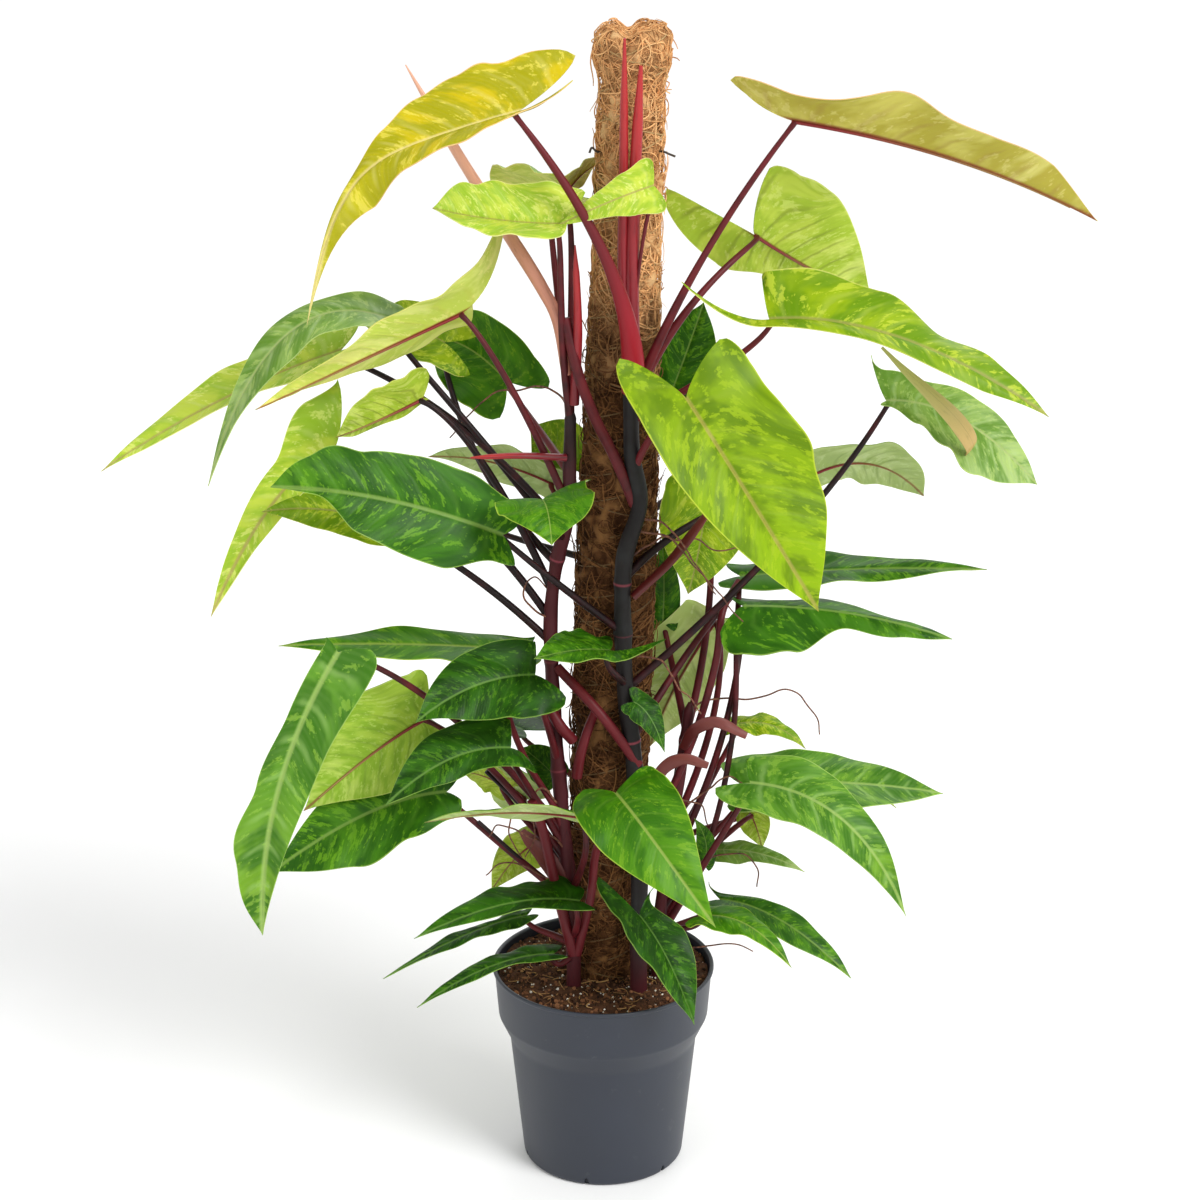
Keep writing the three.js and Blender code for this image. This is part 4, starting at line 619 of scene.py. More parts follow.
class Value:
    """A number that changes over a surface. Arithmetic on it adds Math nodes to its material."""

    def __init__(self, finish, socket):
        self.finish = finish
        self.socket = socket

    def math(self, operation, *inputs):
        """One Math node, its inputs values or numbers."""
        return Value(self.finish, self.finish.node("ShaderNodeMath", {"operation": operation}, inputs))

    def __add__(self, other):
        return self.math("ADD", self, other)

    __radd__ = __add__

    def __sub__(self, other):
        return self.math("SUBTRACT", self, other)

    def __rsub__(self, other):
        return self.math("SUBTRACT", other, self)

    def __mul__(self, other):
        return self.math("MULTIPLY", self, other)

    __rmul__ = __mul__

    def __abs__(self):
        return self.math("ABSOLUTE", self)

    def fraction(self):
        """What is left of it over a whole number."""
        return self.math("FRACT", self)

    def rise(self, low, high):
        """0 below low, 1 above high and a smooth slope between."""
        settings = {"interpolation_type": "SMOOTHSTEP"}
        return Value(self.finish, self.finish.node("ShaderNodeMapRange", settings, [self, low, high]))


class Finish:
    """A material. Its methods add nodes and hand back what comes out of them."""

    def __init__(self, name, **constants):
        self.material = bpy.data.materials.new(name)
        self.material.use_nodes = True
        self.tree = self.material.node_tree
        self.skin = self.tree.nodes["Principled BSDF"]
        for socket, value in constants.items():
            self.skin.inputs[socket.replace("_", " ")].default_value = value

    def node(self, kind, settings, inputs, output=0):
        """Adds a node: its settings first, then values or links for its sockets, by order or by name."""
        node = self.tree.nodes.new(kind)
        for key, value in settings.items():
            setattr(node, key, value)
        pairs = inputs.items() if isinstance(inputs, dict) else enumerate(inputs)
        for key, value in pairs:
            self.feed(node.inputs[key], value)
        return node.outputs[output]

    def feed(self, socket, value):
        """Links the socket to a value, or sets it to a number, a vector or a colour without its alpha."""
        value = value.socket if isinstance(value, Value) else value
        if isinstance(value, bpy.types.NodeSocket):
            self.tree.links.new(value, socket)
        elif isinstance(value, tuple) and socket.type == "RGBA":
            socket.default_value = (*value, 1)
        else:
            socket.default_value = value

    def split(self, vector):
        """The three numbers of a vector."""
        node = self.tree.nodes.new("ShaderNodeSeparateXYZ")
        self.feed(node.inputs[0], vector)
        return [Value(self, output) for output in node.outputs]

    def attribute(self, name):
        """The three numbers of one of the piece's attributes."""
        return self.split(self.node("ShaderNodeAttribute", {"attribute_name": name}, [], "Vector"))

    def place(self):
        """Where a point is on the plant, in metres."""
        return self.node("ShaderNodeTexCoord", {}, [], "Object")

    def vector(self, x, y, z):
        """A vector of three numbers or values."""
        return self.node("ShaderNodeCombineXYZ", {}, [x, y, z])

    def noise(self, vector, scale, detail, roughness=0.55):
        """Cloudy noise of 0 to 1 about 0.5, with scale spots to a unit of the vector."""
        inputs = {"Vector": vector, "Scale": scale, "Detail": detail, "Roughness": roughness}
        return Value(self, self.node("ShaderNodeTexNoise", {}, inputs))

    def mix(self, share, low, high):
        """The low colour where share is 0, the high one where it is 1."""
        return self.node("ShaderNodeMix", {"data_type": "RGBA"}, {0: share, 6: low, 7: high}, 2)

    def bump(self, height, strength, distance):
        """Tilts the surface as relief of that height would, with the distance in millimetres."""
        inputs = {"Strength": strength, "Distance": distance * MM, "Height": height}
        self.feed(self.skin.inputs["Normal"], self.node("ShaderNodeBump", {}, inputs))

    def paint(self, colour, roughness):
        """Gives the surface its colour and roughness, and hands back the material."""
        self.feed(self.skin.inputs["Base Color"], colour)
        self.feed(self.skin.inputs["Roughness"], roughness)
        return self.material


class Shell:
    """A closed surface: its points in millimetres, its blocks of faces, one material number for all
    of them or one for each block, and the attributes flow and place, three numbers a point."""

    def __init__(self, points, faces, material=0, flow=None, place=None):
        self.points = points
        self.faces = faces
        self.material = material
        self.flow = np.zeros_like(points) if flow is None else flow
        self.place = np.zeros_like(points) if place is None else place


def joined(shells):
    """All the shells' points in metres, and their faces with the points counted on from shell to
    shell."""
    starts = np.cumsum([0] + [len(shell.points) for shell in shells])
    blocks = [block + start for shell, start in zip(shells, starts) for block in shell.faces]
    return np.concatenate([s.points for s in shells]) * MM, [face for b in blocks for face in b.tolist()]


def make_piece(name, shells, materials, nodes):
    """Joins shells into one object that rides with the plant and stands for the given CAD nodes."""
    mesh = bpy.data.meshes.new(name)
    points, faces = joined(shells)
    mesh.from_pydata(points, [], faces)
    numbers = [np.full(len(block), number) for shell in shells
               for block, number in zip(shell.faces, np.broadcast_to(shell.material, len(shell.faces)))]
    mesh.polygons.foreach_set("material_index", np.concatenate(numbers).astype(np.int32))
    mesh.polygons.foreach_set("use_smooth", np.ones(len(faces), bool))
    for key in ("flow", "place"):
        values = np.concatenate([getattr(shell, key) for shell in shells]).astype(np.float32)
        mesh.attributes.new(key, "FLOAT_VECTOR", "POINT").data.foreach_set("vector", values.ravel())
    for material in materials:
        mesh.materials.append(material)
    mesh.set_sharp_from_angle(angle=SHARP_ANGLE)
    piece = bpy.data.objects.new(name, mesh)
    bpy.context.scene.collection.objects.link(piece)
    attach(piece, "root")
    if nodes:
        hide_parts(*nodes)
    return piece


def ripple(points, size, seed, waves=14):
    """Smooth noise of about −1 to 1: a mean of sine waves that run in seeded directions, about `size`
    millimetres long."""
    rng = np.random.default_rng(seed)
    ways = rng.normal(size=(waves, 3))
    lengths = size * rng.uniform(0.6, 1.7, (waves, 1))
    ways *= TURN / (lengths * np.linalg.norm(ways, axis=1, keepdims=True))
    starts = rng.uniform(0, TURN, waves)
    return np.sin(points @ ways.T + starts).sum(-1) / math.sqrt(waves)


def rippled(points, layers):
    """The sum of ripples, each of its own height, size and seed."""
    return sum(height * ripple(points, size, seed) for height, size, seed in layers)


def unit(vectors):
    """Each vector divided by its length."""
    return vectors / np.linalg.norm(vectors, axis=-1, keepdims=True)


def smooth(share):
    """0 to 1 as share goes from 0 to 1, level at both ends: three squares less two cubes."""
    return share * share * (3 - 2 * share)


def peak(distance, reach):
    """1 at no distance, falling like a bell to almost nothing at twice the reach."""
    return np.exp(-((distance / reach) ** 2))


def turns(sides):
    """The angles of even steps once round."""
    return TURN * np.arange(sides) / sides


def meshed(rows, columns):
    """Two lists of values as the pairs of a grid, row by row."""
    return (values.ravel() for values in np.meshgrid(rows, columns, indexing="ij"))


def grid_faces(rows, columns, wrap):
    """Quads between neighbours of a grid whose points run row by row; wrap joins the last column to
    the first. Along the rows times along the columns points inwards, so the quads face out."""
    row, column = np.meshgrid(np.arange(rows - 1), np.arange(columns if wrap else columns - 1), indexing="ij")
    here, after = row * columns + column, row * columns + (column + 1) % columns
    return np.stack([here, after, after + columns, here + columns], -1).reshape(-1, 4)


def capped(points, sides, first, last, downwards=False):
    """Rings of points from the foot up, or downwards, closed by a fan of triangles to the point first
    before the first ring and to last after the last."""
    count = len(points)
    here = np.arange(sides)
    after = np.roll(here, -1)
    top = count - sides
    faces = [grid_faces(count // sides, sides, True),
             np.stack([after, here, np.full(sides, count)], -1),
             np.stack([top + here, top + after, np.full(sides, count + 1)], -1)]
    if downwards:
        faces = [block[:, ::-1] for block in faces]
    return np.concatenate([points, [first, last]]), faces


def swept(path, wide, thick, sides, across=None, material=0, seed=0.0, blush=0.0):
    """A closed tube along a path: each ring is an ellipse of the half axes wide and thick at right
    angles to the path. flow holds the way round, the length so far and the seed; place holds the
    share of the length, the blush and the radius."""
    steps = len(path)
    tangent = unit(np.gradient(path, axis=0))
    if across is None:
        across = np.eye(3)[np.argmin(np.abs(tangent).max(0))]
    first = unit(np.cross(tangent, np.broadcast_to(across, tangent.shape)))
    second = np.cross(tangent, first)
    angle = turns(sides)[:, None]
    wide, thick = (np.broadcast_to(half, steps) for half in (wide, thick))
    ring = (thick[:, None, None] * np.cos(angle) * first[:, None]
            + wide[:, None, None] * np.sin(angle) * second[:, None])
    points = (path[:, None] + ring).reshape(-1, 3)
    caps = np.stack([np.arange(sides)[::-1], (steps - 1) * sides + np.arange(sides)])
    length = np.concatenate([[0], np.cumsum(np.linalg.norm(np.diff(path, axis=0), axis=1))])
    flow = np.stack([np.tile(np.arange(sides) / sides, steps), np.repeat(length, sides),
                     np.full(len(points), seed)], -1)
    place = np.stack([np.repeat(length / length[-1], sides), np.full(len(points), blush),
                      np.repeat(wide, sides)], -1)
    return Shell(points, [grid_faces(steps, sides, True), caps], material, flow, place)


def spline(points, count):
    """A smooth curve through the points: on each stretch a cubic whose slopes at the ends come from
    the neighbours, weighted by the square roots of the distances between them."""
    points = np.array(points, float)
    ends = np.concatenate([[2 * points[0] - points[1]], points, [2 * points[-1] - points[-2]]])
    gap = np.linalg.norm(np.diff(ends, axis=0), axis=1)[:, None] ** 0.5
    where = np.linspace(0, len(points) - 1, count)
    i = np.minimum(where.astype(int), len(points) - 2)
    w = (where - i)[:, None]
    before, here, there, after = ends[i], ends[i + 1], ends[i + 2], ends[i + 3]
    g0, g1, g2 = gap[i], gap[i + 1], gap[i + 2]
    slope_here = g1 * ((here - before) / g0 - (there - before) / (g0 + g1) + (there - here) / g1)
    slope_there = g1 * ((there - here) / g1 - (after - here) / (g1 + g2) + (after - there) / g2)
    return (here + slope_here * w + (3 * (there - here) - 2 * slope_here - slope_there) * w ** 2
            + (2 * (here - there) + slope_here + slope_there) * w ** 3)


def midrib(leaf, t):
    """The midrib is a curve through base and tip that leans to bend, with its point sunk by hang, the
    more suddenly the larger hook is. Returns its points and the directions along, up and left at
    each t."""
    t = np.asarray(t, float)[:, None]
    u = 1 - t
    point = u * u * leaf.base + 2 * t * u * leaf.bend + t * t * leaf.tip
    point[:, 2] -= leaf.hang * t[:, 0] ** leaf.hook
    along = (leaf.bend - leaf.base) * u + (leaf.tip - leaf.bend) * t
    along[:, 2] -= leaf.hang * leaf.hook / 2 * t[:, 0] ** (leaf.hook - 1)
    along = unit(along)
    up = unit(leaf.face - (along @ leaf.face)[:, None] * along)
    return point, along, up, np.cross(up, along)


def between(knots, t):
    """Evenly spaced values, with a smooth slope from each to the next."""
    knots = np.array(knots, float)
    where = np.clip(t, 0, 1) * (len(knots) - 1)
    i = np.minimum(where.astype(int), len(knots) - 2)
    share = smooth(where - i)
    return knots[i] * (1 - share) + knots[i + 1] * share


def blade_half(leaf, side, t, share, quilting):
    """One half of a blade. t is 1 at the point, 0 at the stalk and −1 at the lobe's end; share is 0
    at the midrib or the lobe's inner edge and 1 at the margin. The margin is widest near the stalk
    and falls to the point; the lobe reaches back and out on a quarter of an oval. The half rises at
    the fold, sinks at the margin, waves, and swells between its side veins."""
    lobe = 0 if side > 0 else 1
    half = leaf.width / 2
    back, out = leaf.lobes[lobe]
    ahead = np.maximum(t, 0)
    s = np.maximum(-t, 0)
    to_point, to_lobe, right = 1 - ahead, 1 - s, 0.1 * side

    def near(steepness, distance):
        """1 away from an end, and less within a share 1 / steepness of it."""
        return np.minimum(1, steepness * distance)

    point, along, up, left = midrib(leaf, ahead)
    inner = out * (1 - (1 - s ** LOBE["slant"]) ** LOBE["turn"])
    bulk = (1 - ahead ** BLADE["fall"]) ** BLADE["point"]
    margin = half * BLADE["scale"] * bulk * (BLADE["shoulder"] + BLADE["spread"] * ahead)
    margin = margin * between(leaf.wide[lobe], ahead)
    outer = out + (margin - out) * np.sqrt(np.maximum(1 - s * s, 0))
    x = inner + (outer - inner) * share
    y = ahead * leaf.length - back * s
    reach = x / half
    run = y / leaf.length
    ends = near(6, to_point) * near(6, to_lobe)

    height, count, start = leaf.wave
    rise = x * math.sin(leaf.fold) - leaf.droop * reach ** 2 + leaf.lift[lobe] * s * s
    rise = rise + height * reach ** 2 * np.sin(TURN * (count * run + start + 1.7 * right))
    rise = rise + between(leaf.sag[lobe], ahead) * share ** 2 * (1 - s * s) * near(5, to_point)
    rise = rise - GROOVE["depth"] * peak(x, GROOVE["width"]) * near(6, to_point)
    fine = np.sin(TURN * (RUFFLE["waves"] * run + 9 * leaf.seed + 3 * right))
    rise = rise + RUFFLE["height"] * ends * reach ** 3 * fine
    broad = np.sin(TURN * (SWELL["waves"] * run - SWELL["lean"] * share + 5 * leaf.seed + 4 * right))
    rise = rise + min(SWELL["height"], leaf.width / SWELL["small"]) * ends * share * broad

    spacing = leaf.length / VEINS["per_side"]
    settled = smooth(np.clip((y + back) / (VEINS["settled"] * leaf.length + back), 0, 1))
    slant = VEINS["back"] + VEINS["swing"] * settled
    vein = (y - slant * x - VEINS["bow"] * x * x / half) / spacing
    inside = 4 * share * (1 - share) * near(8, to_point) * near(8, to_lobe)
    rise = rise + quilting * inside * np.cos(TURN * vein)

    points = (point - along * (back * s)[:, None] + left * (side * x * math.cos(leaf.fold))[:, None]
              + up * rise[:, None])
    flow = np.stack([vein, side * x / spacing, np.full(len(t), leaf.seed)], -1)
    place = np.stack([share, t, np.full(len(t), spacing)], -1)
    return points, flow, place


def welded(points, quads):
    """Merges points that coincide. Returns the kept points' numbers and the faces, with a quad that
    lost a corner as a triangle."""
    _, first, inverse = np.unique(np.round(points, 4), axis=0, return_index=True, return_inverse=True)
    quads = inverse.ravel()[quads]
    repeated = quads == np.roll(quads, -1, axis=1)
    whole = quads[~repeated.any(1)]
    cut = repeated.sum(1) == 1
    return first, whole, quads[cut][~repeated[cut]].reshape(-1, 3)


def thickened(points, quads, triangles, thickness):
    """Moves a sheet half its thickness to each side along its normals and joins the two by a rim.
    Returns the points and the faces of the upper side, the underside and the rim."""
    normals = np.zeros_like(points)
    upper = [quads, triangles]
    for block in upper:
        corner = points[block]
        face_normal = np.cross(corner[:, 2] - corner[:, 0], corner[:, -1] - corner[:, 1])
        for column in block.T:
            np.add.at(normals, column, face_normal)
    normals = unit(normals) * thickness / 2
    count = len(points)
    edges = np.concatenate([np.stack([b, np.roll(b, -1, axis=1)], -1).reshape(-1, 2) for b in upper])
    forward, backward = edges @ (count, 1), edges @ (1, count)
    a, b = edges[~np.isin(forward, backward)].T
    rim = np.stack([b, a, a + count, b + count], -1)
    under = [block[:, ::-1] + count for block in upper]
    return np.concatenate([points + normals, points - normals]), upper, under, rim


def blade_shells(leaf, sizes, rows, columns, first_material=0):
    """The blade as one closed shell, with its raised midrib below. Materials: upper side and rim,
    underside, midrib."""
    lobe_rows = max(6, rows // 5)
    t = np.concatenate([np.linspace(-1, 0, lobe_rows, endpoint=False), np.linspace(0, 1, rows + 1)])
    share = np.linspace(0, 1, columns + 1) ** 1.25
    quads = grid_faces(len(t), len(share), False)
    grid_t, grid_share = meshed(t, share)
    halves = [blade_half(leaf, side, grid_t, grid_share, sizes.quilting / MM) for side in (1, -1)]
    points, flow, place = (np.concatenate(parts) for parts in zip(*halves))
    first, whole, triangles = welded(points, np.concatenate([quads[:, ::-1], quads + len(grid_t)]))
    points, upper, under, rim = thickened(points[first], whole, triangles, sizes.blade / MM)
    numbers = first_material + np.array([0, 0, 1, 1, 0])
    flow, place = (np.tile(values[first], (2, 1)) for values in (flow, place))
    blade = Shell(points, [*upper, *under, rim], numbers, flow, place)
    t = np.linspace(0, RIB["end"], RIB["steps"])
    point, _, up, _ = midrib(leaf, t)
    radius = RIB["least"] + min(RIB["most"], leaf.width / RIB["small"]) * (1 - t) ** 0.9
    rib = swept(point - up * (RIB["sunk"] + radius)[:, None], radius, radius, RIB["sides"],
                material=first_material + 2, seed=leaf.seed, blush=1.0)
    return [blade, rib]


def stem_path(name):
    """A stem's centreline from its tip to its end in the soil."""
    path = spline(STEMS[name][1], STEM_STEPS)
    return np.concatenate([path, [[*path[-1, :2], STEM_END]]])


def on_stem(name, height):
    """The point of a stem's centreline at a height."""
    path = spline(STEMS[name][1], STEM_SAMPLES)[::-1]
    return np.array([np.interp(height, path[:, 2], path[:, k]) for k in range(3)])


def stem_shell(name):
    """A round, slightly uneven stem that thickens from its blunt tip to its foot and swells at each
    joint. place holds the pink ring's mask and how maroon the stem is, which fades upwards."""
    path = stem_path(name)
    height = path[:, 2]
    top, foot = STEMS[name][0]
    joints, (low, high) = JOINTS[name]
    distance = np.abs(height[:, None] - joints).min(1)
    radius = np.linspace(top, foot, len(path)) + JOINT["swell"] * peak(distance, JOINT["reach"])
    radius = radius + STEM_UNEVEN["height"] * np.sin(height / STEM_UNEVEN["length"])
    radius = radius * np.minimum(1, STEM_TIP["share"] + STEM_TIP["slope"] * (height[0] - height))
    shell = swept(path, radius, radius, STEM_SIDES, seed=0.3)
    shell.place[:, 0] = np.repeat(peak(distance, JOINT["ring"]), STEM_SIDES)
    shell.place[:, 1] = np.repeat(np.interp(height, (low, high), (1, 0)), STEM_SIDES)
    return shell


def stalk_shell(leaf, material):
    """A stalk on a cubic curve from the stem to the first stretch of the midrib, thick at its foot,
    where some have a sleeve, and thin below the blade, with a slight swelling just before it."""
    along = unit(midrib(leaf, [1 / 6])[0][0] - leaf.base)
    up = unit(leaf.face - along * (along @ leaf.face))
    seat = leaf.base + along * STALK["inset"] - up * STALK["below"]
    lead = seat - up * STALK["lead"] - along * STALK["lead"] / 2
    start = on_stem(leaf.stem, leaf.at)
    t = np.linspace(0, 1, STALK["steps"])
    u = 1 - t
    path = (np.outer(u ** 3, start) + np.outer(3 * u ** 2 * t, leaf.via)
            + np.outer(3 * u * t * t, lead) + np.outer(t ** 3, seat))
    radius = leaf.stalk + (STALK["end"] + KNEE["swell"] - leaf.stalk) * np.minimum(1, 1.1 * t)
    radius = radius + KNEE["swell"] * peak(t - KNEE["at"], KNEE["reach"])
    sleeve = (1 - np.clip(t / SLEEVE["reach"], 0, 1)) ** SLEEVE["fall"]
    radius = radius + leaf.sleeve * sleeve * np.minimum(1, SLEEVE["foot"] + SLEEVE["rise"] * t)
    young = next(redness for height, redness in REDNESS if leaf.at > height)
    blush = RED_SLEEVE if leaf.sleeve > WIDE_SLEEVE else young * (0.75 + 0.5 * leaf.seed)
    return swept(path, radius, radius, STALK["sides"], material=material, seed=leaf.seed, blush=blush)


def bare_stalk(points, radii, material, seed, blush):
    """A stalk on a curve through its points, with an even change from the first radius to the last."""
    path = spline(points, STALK["bare_steps"])
    radius = np.linspace(*radii, len(path))
    return swept(path, radius, radius, STALK["sides"], material=material, seed=seed, blush=blush)


def root_shell(points, material, seed):
    """A root that thins out along a curve through its points and wanders a little from it."""
    path = spline(points, ROOT["steps"] * len(points))
    path = path + ROOT["wander"] * np.stack([ripple(path, ROOT["size"], seed + k) for k in range(3)], -1)
    radius = np.linspace(*ROOT["radius"], len(path))
    return swept(path, radius, radius, ROOT["sides"], material=material, seed=0.5)


def stalk_finish(name, colour, stem):
    """Waxy skin: maroon where place says blush, near black elsewhere, with long fine streaks."""
    finish = Finish(name, Specular_IOR_Level=0.25)
    share, blush, _ = finish.attribute("place")
    round_, length, seed = finish.attribute("flow")
    streaks = finish.noise(finish.vector(round_ * 9, length * 0.03, seed * 31), 2.2, 4)
    patches = finish.noise(finish.place(), 60, 2)
    tone = finish.mix((blush + (patches - 0.5) * 0.9).rise(0.15, 0.85), scaled(stem, (1, 0.5, 0.6)), colour)
    tone = finish.mix(streaks.rise(0.55, 0.8) * 0.35, tone, scaled(colour, 2))
    young = (1 - share.rise(0.1, 0.6)) * (blush - 1).rise(0.05, 0.3)
    tone = finish.mix(young, tone, linear(146, 20, 34))
    finish.bump(streaks, strength=0.25, distance=0.3)
    return finish.paint(tone, 0.34 + 0.2 * patches)


def stem_finish(colour):
    """Old stem: near black with a green-grey bloom and a pink ring at each joint."""
    finish = Finish("stem_skin", Specular_IOR_Level=0.22)
    ring, blush, _ = finish.attribute("place")
    round_, length, seed = finish.attribute("flow")
    streaks = finish.noise(finish.vector(round_ * 7, length * 0.04, seed), 2.5, 4)
    bloom_and_sheen = finish.noise(finish.place(), 38, 3)
    tone = finish.mix(bloom_and_sheen.rise(0.4, 0.75) * 0.6, colour, linear(44, 46, 46))
    tone = finish.mix((blush + (bloom_and_sheen - 0.5) * 0.6).rise(0.2, 0.9), tone, linear(76, 27, 32))
    tone = finish.mix(streaks.rise(0.55, 0.8) * 0.5, tone, linear(30, 16, 16))
    tone = finish.mix(ring.rise(0.45, 0.95) * 0.7, tone, linear(150, 66, 78))
    finish.bump(streaks, strength=0.35, distance=0.4)
    return finish.paint(tone, 0.42 + 0.2 * bloom_and_sheen)


def root_finish():
    """Corky skin of aerial roots, in small spots of two browns."""
    finish = Finish("root_skin")
    spots = finish.noise(finish.place(), 300, 3)
    finish.bump(spots, strength=0.4, distance=0.3)
    return finish.paint(finish.mix(spots.rise(0.3, 0.7), linear(66, 36, 28), linear(134, 84, 58)), 0.7)


def leaf_finish(look):
    """A leaf's side: ground colours in soft patches, flecks that run with the side veins, pale bands
    of painted sheen, the side veins and the midrib in their own colours, and a thin margin. The veins are
    sunk on the upper side and raised on the underside."""
    under = look in UNDER_LOOKS
    *colours, amount, strength = LOOKS[look]
    ground, deep, fleck, vein_colour, rib_colour, edge_colour, end = (linear(*c) for c in colours)
    finish = Finish(f"leaf_{look}", Specular_IOR_Level=0.1 if under else 0.16, Subsurface_Weight=0.2,
                    Subsurface_Radius=(0.8, 1.0, 0.15), Subsurface_Scale=0.0016)
    vein, across, seed = finish.attribute("flow")
    share, t, _ = finish.attribute("place")
    away = abs(across)

    def cloud(across_veins, outwards, shift, scale, detail, roughness=0.55):
        """Noise drawn out across the side veins or along them, and shifted from leaf to leaf."""
        where = finish.vector(vein * across_veins, away * outwards, shift)
        return finish.noise(where, scale, detail, roughness)

    wobble = cloud(0.8, 0.8, seed * 47, scale=1.5, detail=2) - 0.5
    patches = cloud(0.7, 0.5, seed * 91, scale=1.6, detail=3)
    bloom_and_sheen = cloud(1.6, 0.35, seed * 29 + 3, scale=1.5, detail=3)
    blots = cloud(2.8, 1.5, seed * 63, scale=1.8, detail=4, roughness=0.6)
    crowd = cloud(0.8, 0.8, seed * 53 + 7, scale=1.4, detail=2)
    specks = cloud(7, 4.5, seed * 77, scale=2.2, detail=3, roughness=0.6)
    line = 1 - abs((vein + wobble * 0.4).fraction() - 0.5).rise(0.01, 0.15)
    fine = 1 - abs((vein * 5 + wobble).fraction() - 0.5).rise(0.04, 0.4)
    rib = 1 - away.rise(0.03, 0.11)
    fade = 1 - share.rise(0.45, 0.95)
    crowded = blots + (specks - 0.5) * 0.3 + (crowd - 0.5) * 0.5
    blotch = crowded.rise(0.6 - 0.14 * amount, 0.66 - 0.08 * amount)
    tone = finish.mix(t.rise(0.35, 0.95), ground, end)
    tone = finish.mix(patches.rise(0.42, 0.62), deep, tone)
    tone = finish.mix(blotch * (0.3 + 0.8 * amount), tone, fleck)
    # Painted sheen: pale bands along the side veins stand in for glossy reflection, strongest on the sheen
    # look
    tone = finish.mix(bloom_and_sheen.rise(0.5, 0.8) * (0.35 if look == "sheen" else 0.16), tone, vein_colour)
    tone = finish.mix(fine * 0.12 * strength, tone, vein_colour)
    tone = finish.mix(line * fade * 0.8 * strength, tone, vein_colour)
    tone = finish.mix(rib * 0.8, tone, rib_colour)
    tone = finish.mix(share.rise(0.97, 0.995) * 0.75, tone, edge_colour)
    relief = line * fade + fine * 0.25
    relief = (relief if under else 1 - relief) + 0.12 * specks
    finish.bump(relief, strength=0.5 if under else 0.35, distance=0.4)
    return finish.paint(tone, (0.5 if under else 0.34) + 0.22 * patches)


def rib_finish():
    """The raised midrib of an underside: red near the stalk, paler towards the point."""
    finish = Finish("leaf_midrib", Specular_IOR_Level=0.35)
    share, _, _ = finish.attribute("place")
    return finish.paint(finish.mix(share.rise(0.1, 0.9), linear(128, 38, 40), linear(150, 120, 70)), 0.45)


def sheath_finish(name, colour, tip_colour):
    """Rolled or drying sheath: long streaks over a colour that turns towards its tip, and a seam."""
    finish = Finish(name, Specular_IOR_Level=0.45)
    share, _, _ = finish.attribute("place")
    round_, length, seed = finish.attribute("flow")
    streaks = finish.noise(finish.vector(round_ * 6, length * 0.03, seed * 17), 2.6, 4)
    seam = 1 - abs(round_ - 0.27).rise(0.01, 0.04)
    tone = finish.mix(share.rise(0.1, 1.0), linear(*colour), linear(*tip_colour))
    tone = finish.mix(streaks.rise(0.5, 0.8) * 0.45, tone, scaled(linear(*colour), 0.4))
    tone = finish.mix(seam * 0.6, tone, scaled(linear(*colour), 0.25))
    finish.bump(streaks - seam, strength=0.3, distance=0.4)
    return finish.paint(tone, 0.32 + 0.15 * streaks)


def pot_finish(colour):
    """Injection-moulded plastic: even colour, a faint mottle, fine drawn lines and a little dust."""
    finish = Finish("pot_plastic", Specular_IOR_Level=0.5)
    place = finish.place()
    x, y, z = finish.split(place)
    mottle = finish.noise(place, 22, 4)
    grain = finish.noise(place, 900, 2)
    drawn = finish.noise(finish.vector(x * 4, y * 4, z * 700), 1, 3)
    dust = finish.noise(place, 60, 5, 0.7)
    tone = finish.mix(mottle.rise(0.3, 0.75) * 0.5, tuple(colour), scaled(colour, 1.22))
    tone = finish.mix(dust.rise(0.62, 0.8) * 0.12, tone, linear(150, 150, 146))
    finish.bump(grain * 0.4 + drawn * 0.6, strength=0.1, distance=0.12)
    return finish.paint(tone, 0.36 + 0.12 * mottle + 0.06 * grain)


def soil_finish(colour):
    """Damp peat: painted shade in the hollows between clods, and lighter fine bits."""
    finish = Finish("potting_soil", Specular_IOR_Level=0.2)
    clods = finish.noise(finish.place(), 120, 6, 0.65)
    fine = finish.noise(finish.place(), 900, 3)
    # Painted shade: where the clods noise is low, which the bump sinks, the peat falls to a third of its
    # colour
    tone = finish.mix(clods.rise(0.3, 0.7), scaled(colour, 0.3), scaled(colour, 1.25))
    tone = finish.mix(fine.rise(0.62, 0.8) * 0.5, tone, linear(122, 84, 54))
    finish.bump(clods + 0.5 * fine, strength=0.9, distance=1.5)
    return finish.paint(tone, 0.95)


def grain_finish(name, low, high):
    """Grains that each have a tone of their own between two colours, by the seed in flow."""
    finish = Finish(name, Specular_IOR_Level=0.25)
    _, _, seed = finish.attribute("flow")
    fine = finish.noise(finish.place(), 1400, 3)
    finish.bump(fine, strength=0.5, distance=0.4)
    tone = finish.mix((seed + (fine - 0.5) * 0.8).rise(0, 1), linear(*low), linear(*high))
    return finish.paint(tone, 0.9)


